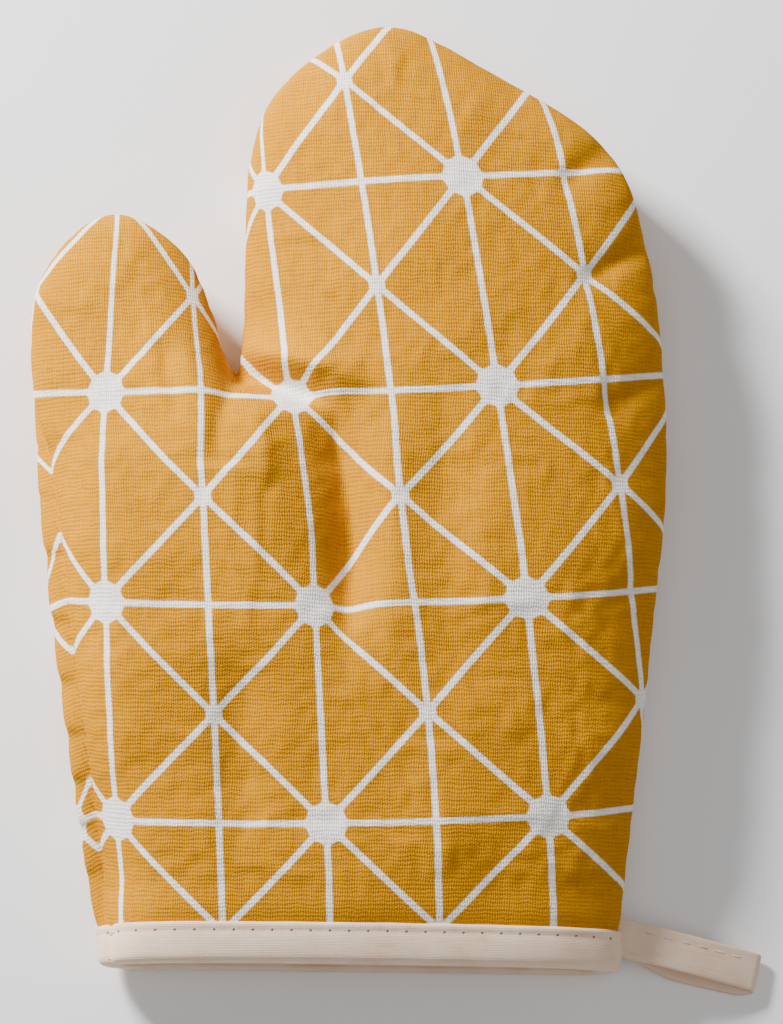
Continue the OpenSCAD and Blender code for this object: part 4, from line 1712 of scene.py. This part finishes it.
@dataclass
class HangingLoop:
    """Folded tape doubled into a loop at the cuff's right corner, with its stitches.

    Attributes:
        width: width of the folded tape.
        lift: how far its middle lies up the cuff from the swing line's own.
        thick: thickness of one strand.
        angle: how far the loop points down from straight out.
        stitch: length of a stitch.
        pitch: distance between stitches.
        inset_row: distance of the stitch row from the tape's upper edge.
        reach: how far the loop reaches past the swing line.
        peek: how far the lower strand shows below the upper one.
        swing: a point of the swing line, in the frame's metres.
        piece: the tape.
        size: the flat tape's width and length in metres.
    """

    shop: Workshop
    swing: Vector
    width: float = 10.8
    lift: float = 3.0
    thick: float = 1.1
    angle: float = math.radians(12.0)
    stitch: float = 4.0
    pitch: float = 5.3
    inset_row: float = 2.6
    reach: float = 38.0
    peek: float = 2.0
    piece: bpy.types.Object = field(init=False)
    size: Point = field(init=False)

    def section(self) -> list[Point]:
        """The tape's section, sewn flat along the stitch row and rounded at its edges.

        Returns:
            Distance across the tape and height over its middle, once round from the lower edge.
        """
        edge, high, row = self.width / 2, self.thick / 2, self.width / 2 - self.inset_row
        upper = [(-edge + 0.25, high * 0.8), (-edge + 1.2, high), (-1.0, high * 1.1), (row - 1.2, high * 1.1),
                 (row, high * 0.75), (row + 1.2, high * 0.95), (edge - 0.2, high * 0.85)]
        lower = [(across, -up) for across, up in reversed(upper)]
        return [(-edge, 0.0), *upper, (edge, high * 0.4), (edge - 0.7, 0.0), (edge, -high * 0.4), *lower]

    def tape_line(self) -> np.ndarray:
        """Middle line of the tape, from the seam out along the upper strand and back under it.

        Returns:
            Distance out from the swing line and height over the floor of each point.
        """
        half, reach = self.thick / 2, self.reach
        return curve(((-5.0, 10.9), (0.0, 10.6), (9.0, 9.6), (19.0, 7.9), (29.0, 5.2), (reach - 2.2, 3.1),
                      (reach - 0.5, 2.5), (reach, 1.6), (reach - 0.6, 0.8), (reach - 3.0, half),
                      (23.0, half), (14.5, half + 0.6), (7.6, 4.0), (0.0, 9.3), (-5.0, 9.6)), 8)

    def build(self) -> None:
        """The tape and its stitch row."""
        line = respaced(self.tape_line(), 1.0)
        along = walked(line)
        step = np.gradient(line, axis=0)
        step /= np.linalg.norm(step, axis=1)[:, None]
        up = np.column_stack([-step[:, 1], step[:, 0]])
        section = self.section()
        far = along[np.argmax(line[:, 0])]
        slip = -self.peek * smooth(far - 2, far + 6, along) * (1 - smooth(far + 22, far + 38, along))
        points, cut = [], []
        girth = walked(np.array(section + section[:1]))
        for k, (across, high) in enumerate(section):
            at = line + up * high
            points.append(self.placed(at[:, 0], across + slip, at[:, 1]))
            cut.append(np.column_stack([along, np.full(len(line), girth[k])]))
        sides, count = len(section), len(line)
        points = np.stack(points, axis=1).reshape(-1, 3)
        cut = np.stack(cut, axis=1).reshape(-1, 2)
        faces = [(i * sides + k, i * sides + (k + 1) % sides, (i + 1) * sides + (k + 1) % sides,
                  (i + 1) * sides + k) for i in range(count - 1) for k in range(sides)]
        last = (count - 1) * sides
        faces += [tuple(reversed(range(sides))), tuple(range(last, last + sides))]
        points[:, 2] = np.maximum(points[:, 2], 0.0)
        piece = self.shop.sew("hanging_loop_tape", points, faces, cut)
        self.shop.face_out(piece)
        self.shop.finish(piece, levels=1)
        self.bend(piece)
        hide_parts("hanging_loop", "loop_root")
        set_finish(piece, "bias_tape")
        self.piece = piece
        self.size = (float(girth[-1]) / 2 * MM, float(along[-1]) * MM)
        self.build_stitches(line, up, along, slip)

    def placed(self, out: np.ndarray, across: np.ndarray, high: np.ndarray) -> np.ndarray:
        """Places of points given in the loop's own distances.

        Args:
            out: distance out from the swing line.
            across: distance across the tape.
            high: height over the floor.

        Returns:
            The places in millimetres.
        """
        across = across + self.lift
        cos, sin = math.cos(self.angle), math.sin(self.angle)
        x = self.swing.x / MM + out * cos + across * sin
        y = self.swing.y / MM + self.shop.mitt_length / 2 - out * sin + across * cos
        return np.column_stack([x, y, high])

    def bend(self, piece: bpy.types.Object) -> None:
        """Bakes a piece's place into its mesh.

        Args:
            piece: the tape or its stitches.
        """
        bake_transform(piece)

    def build_stitches(self, line: np.ndarray, up: np.ndarray, along: np.ndarray, slip: np.ndarray) -> None:
        """The stitch row that runs on from the binding.

        Args:
            line: the tape's middle line.
            up: direction out of the tape at each of its points.
            along: way walked along it.
            slip: how far the tape is moved across at each of its points.
        """
        across = self.width / 2 - self.inset_row
        top = int(np.argmax(line[:, 0]))
        face = line + up * (self.thick / 2 * 0.9)
        row = self.placed(face[:, 0], across + slip, face[:, 1])
        cos, sin = math.cos(self.angle), math.sin(self.angle)
        out = np.column_stack([up[:, 0] * cos, -up[:, 0] * sin, up[:, 1]])
        first = along[np.argmax(line[:, 0] > 3.0)]
        starts = np.arange(first, along[top] - 7.0, self.pitch)
        piece = stitch_row(self.shop, "loop_stitch_row", row, out, starts, self.stitch)
        self.bend(piece)
        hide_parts("loop_stitches")
        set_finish(piece, "stitch_thread")


# ---------------------------------------------------------------------------------------------------------
# Studio


@dataclass
class Studio:
    """Floor, lights and camera.

    Attributes:
        mitt_length: length of the mitt.
        aim: point in the middle of the view.
        distance: camera's distance.
        tilt: camera's lean towards -X and -Y in degrees.
        seen: height of the view at the aim.
        film: width of the camera's film.
        floor_size: side of the floor in metres.
        floor_drop: how far the floor lies under the mitt, in metres.
        daylight: strength of the light from all round.
    """

    mitt_length: float
    aim: Point = (10.2, 128.0, 12.0)
    distance: float = 2500.0
    tilt: Point = (7.5, 9.0)
    seen: float = 286.5
    film: float = 36.0
    floor_size: float = 6.0
    floor_drop: float = 0.0005
    daylight: float = 0.25

    def build(self) -> None:
        """Everything round the mitt."""
        self.floor()
        target = Vector(in_frame(np.array(self.aim), self.mitt_length))
        lean_x, lean_y = (math.tan(math.radians(t)) for t in self.tilt)
        back = Vector((-lean_x, -lean_y, 1.0)).normalized()
        data = bpy.data.cameras.new("studio camera")
        data.sensor_width = self.film
        data.lens = self.film * self.distance / self.seen
        data.clip_start, data.clip_end = 0.01, 20.0
        camera = bpy.data.objects.new("studio camera", data)
        camera.location = target + back * (self.distance * MM)
        right = Vector((0.0, 1.0, 0.0)).cross(back).normalized()
        camera.rotation_euler = Matrix((right, back.cross(right), back)).transposed().to_euler()
        bpy.context.scene.collection.objects.link(camera)
        bpy.context.scene.camera = camera
        self.light("key", (-0.72, 0.66, 0.46), 0.26, 38.0, target)
        self.light("fill", (0.2, -0.3, 1.4), 1.4, 6.0, target)
        world = bpy.data.worlds.new("studio")
        world.use_nodes = True
        sky = world.node_tree.nodes["Background"]
        sky.inputs["Color"].default_value = (1.0, 1.0, 1.0, 1.0)
        sky.inputs["Strength"].default_value = self.daylight
        bpy.context.scene.world = world

    @staticmethod
    def light(name: str, place: Point, size: float, power: float, target: Vector) -> None:
        """A square soft light that looks at the mitt.

        Args:
            name: its name.
            place: its place from the target, in metres.
            size: its side in metres.
            power: its power in watts.
            target: the point that it looks at.
        """
        data = bpy.data.lights.new(name, "AREA")
        data.size, data.energy = size, power
        lamp = bpy.data.objects.new(name, data)
        lamp.location = target + Vector(place)
        lamp.rotation_euler = (-Vector(place)).to_track_quat("-Z", "Y").to_euler()
        bpy.context.scene.collection.objects.link(lamp)

    def floor(self) -> None:
        """Pale studio floor under the mitt."""
        bpy.ops.object.select_all(action="DESELECT")
        bpy.ops.mesh.primitive_plane_add(size=self.floor_size, location=(0, 0, -self.floor_drop))
        ground = bpy.context.object
        ground.name = "studio_floor"
        bpy.ops.object.transform_apply(location=True)
        graph = NodeGraph("studio floor")
        place = graph.add("ShaderNodeTexCoord").outputs["Object"]
        tone = graph.noise(place, 0.4, 2.0)
        colour = graph.blend(tone, (0.93, 0.93, 0.93, 1), (0.96, 0.96, 0.96, 1))
        ground.data.materials.append(graph.finish(colour, graph.noise(place, 0.002), 0.02, 0.9))


def finishes(binding: CuffBinding) -> dict[str, bpy.types.Material]:
    """The finish of each slot, and of the tape that has the binding's stitch holes.

    Args:
        binding: the binding, whose stitches set the holes.

    Returns:
        The materials by name.
    """
    # The tape's second colour is its painted shade in the gaps of the weave.
    tape, shade_in_gaps = paint(240, 213, 188), paint(216, 176, 142)
    cottons = {
        "lining_cotton": PlainCotton("lining cotton", paint(238, 232, 220), paint(205, 196, 180)),
        "bias_tape": PlainCotton("bias tape", tape, shade_in_gaps),
        "stitched_tape": PlainCotton("stitched bias tape", tape, shade_in_gaps, hole_pitch=binding.pitch,
                                     hole_line=binding.row_place),
    }
    spun = {
        "batting": SpunFill("polyester batting", paint(240, 240, 236), paint(205, 205, 200)),
        "stitch_thread": SpunFill("stitch thread", paint(238, 218, 196), paint(190, 150, 116), 0.2, 0.05),
        "seam_thread": SpunFill("seam thread", paint(232, 160, 30), paint(190, 110, 10), 0.2, 0.05),
    }
    every = {"printed_canvas": PrintedCanvas(), **cottons, **spun}
    return {name: finish.material() for name, finish in every.items()}


def dress(binding: CuffBinding) -> None:
    """Gives every piece its finish.

    Args:
        binding: the binding, whose tape has stitch holes.
    """
    materials = finishes(binding)
    for piece in bpy.context.scene.objects:
        slot = piece.get("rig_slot")
        if piece.type == "MESH" and slot in materials:
            piece.data.materials.clear()
            piece.data.materials.append(materials["stitched_tape" if piece == binding.piece else slot])


def main() -> None:
    """Builds the mitt's looks piece by piece."""
    logging.basicConfig(level=logging.INFO, format="%(name)s: %(message)s")
    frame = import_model()
    length = 2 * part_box("outer_front")[1].y / MM
    shop = Workshop(length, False)
    shell = Shell(shop, MittForm())
    shell.settle()
    shell.build_outer()
    shell.build_batting()
    shell.build_lining()
    SeamThreads(shop, shell).build()
    binding = CuffBinding(shop, shell)
    binding.build()
    joint = next(j for j in frame["joints"] if j["name"] == "loop_swing")
    loop = HangingLoop(shop, Vector(joint["pos_m"]))
    loop.build()
    dress(binding)
    Studio(length).build()


if __name__ == "__main__":
    main()
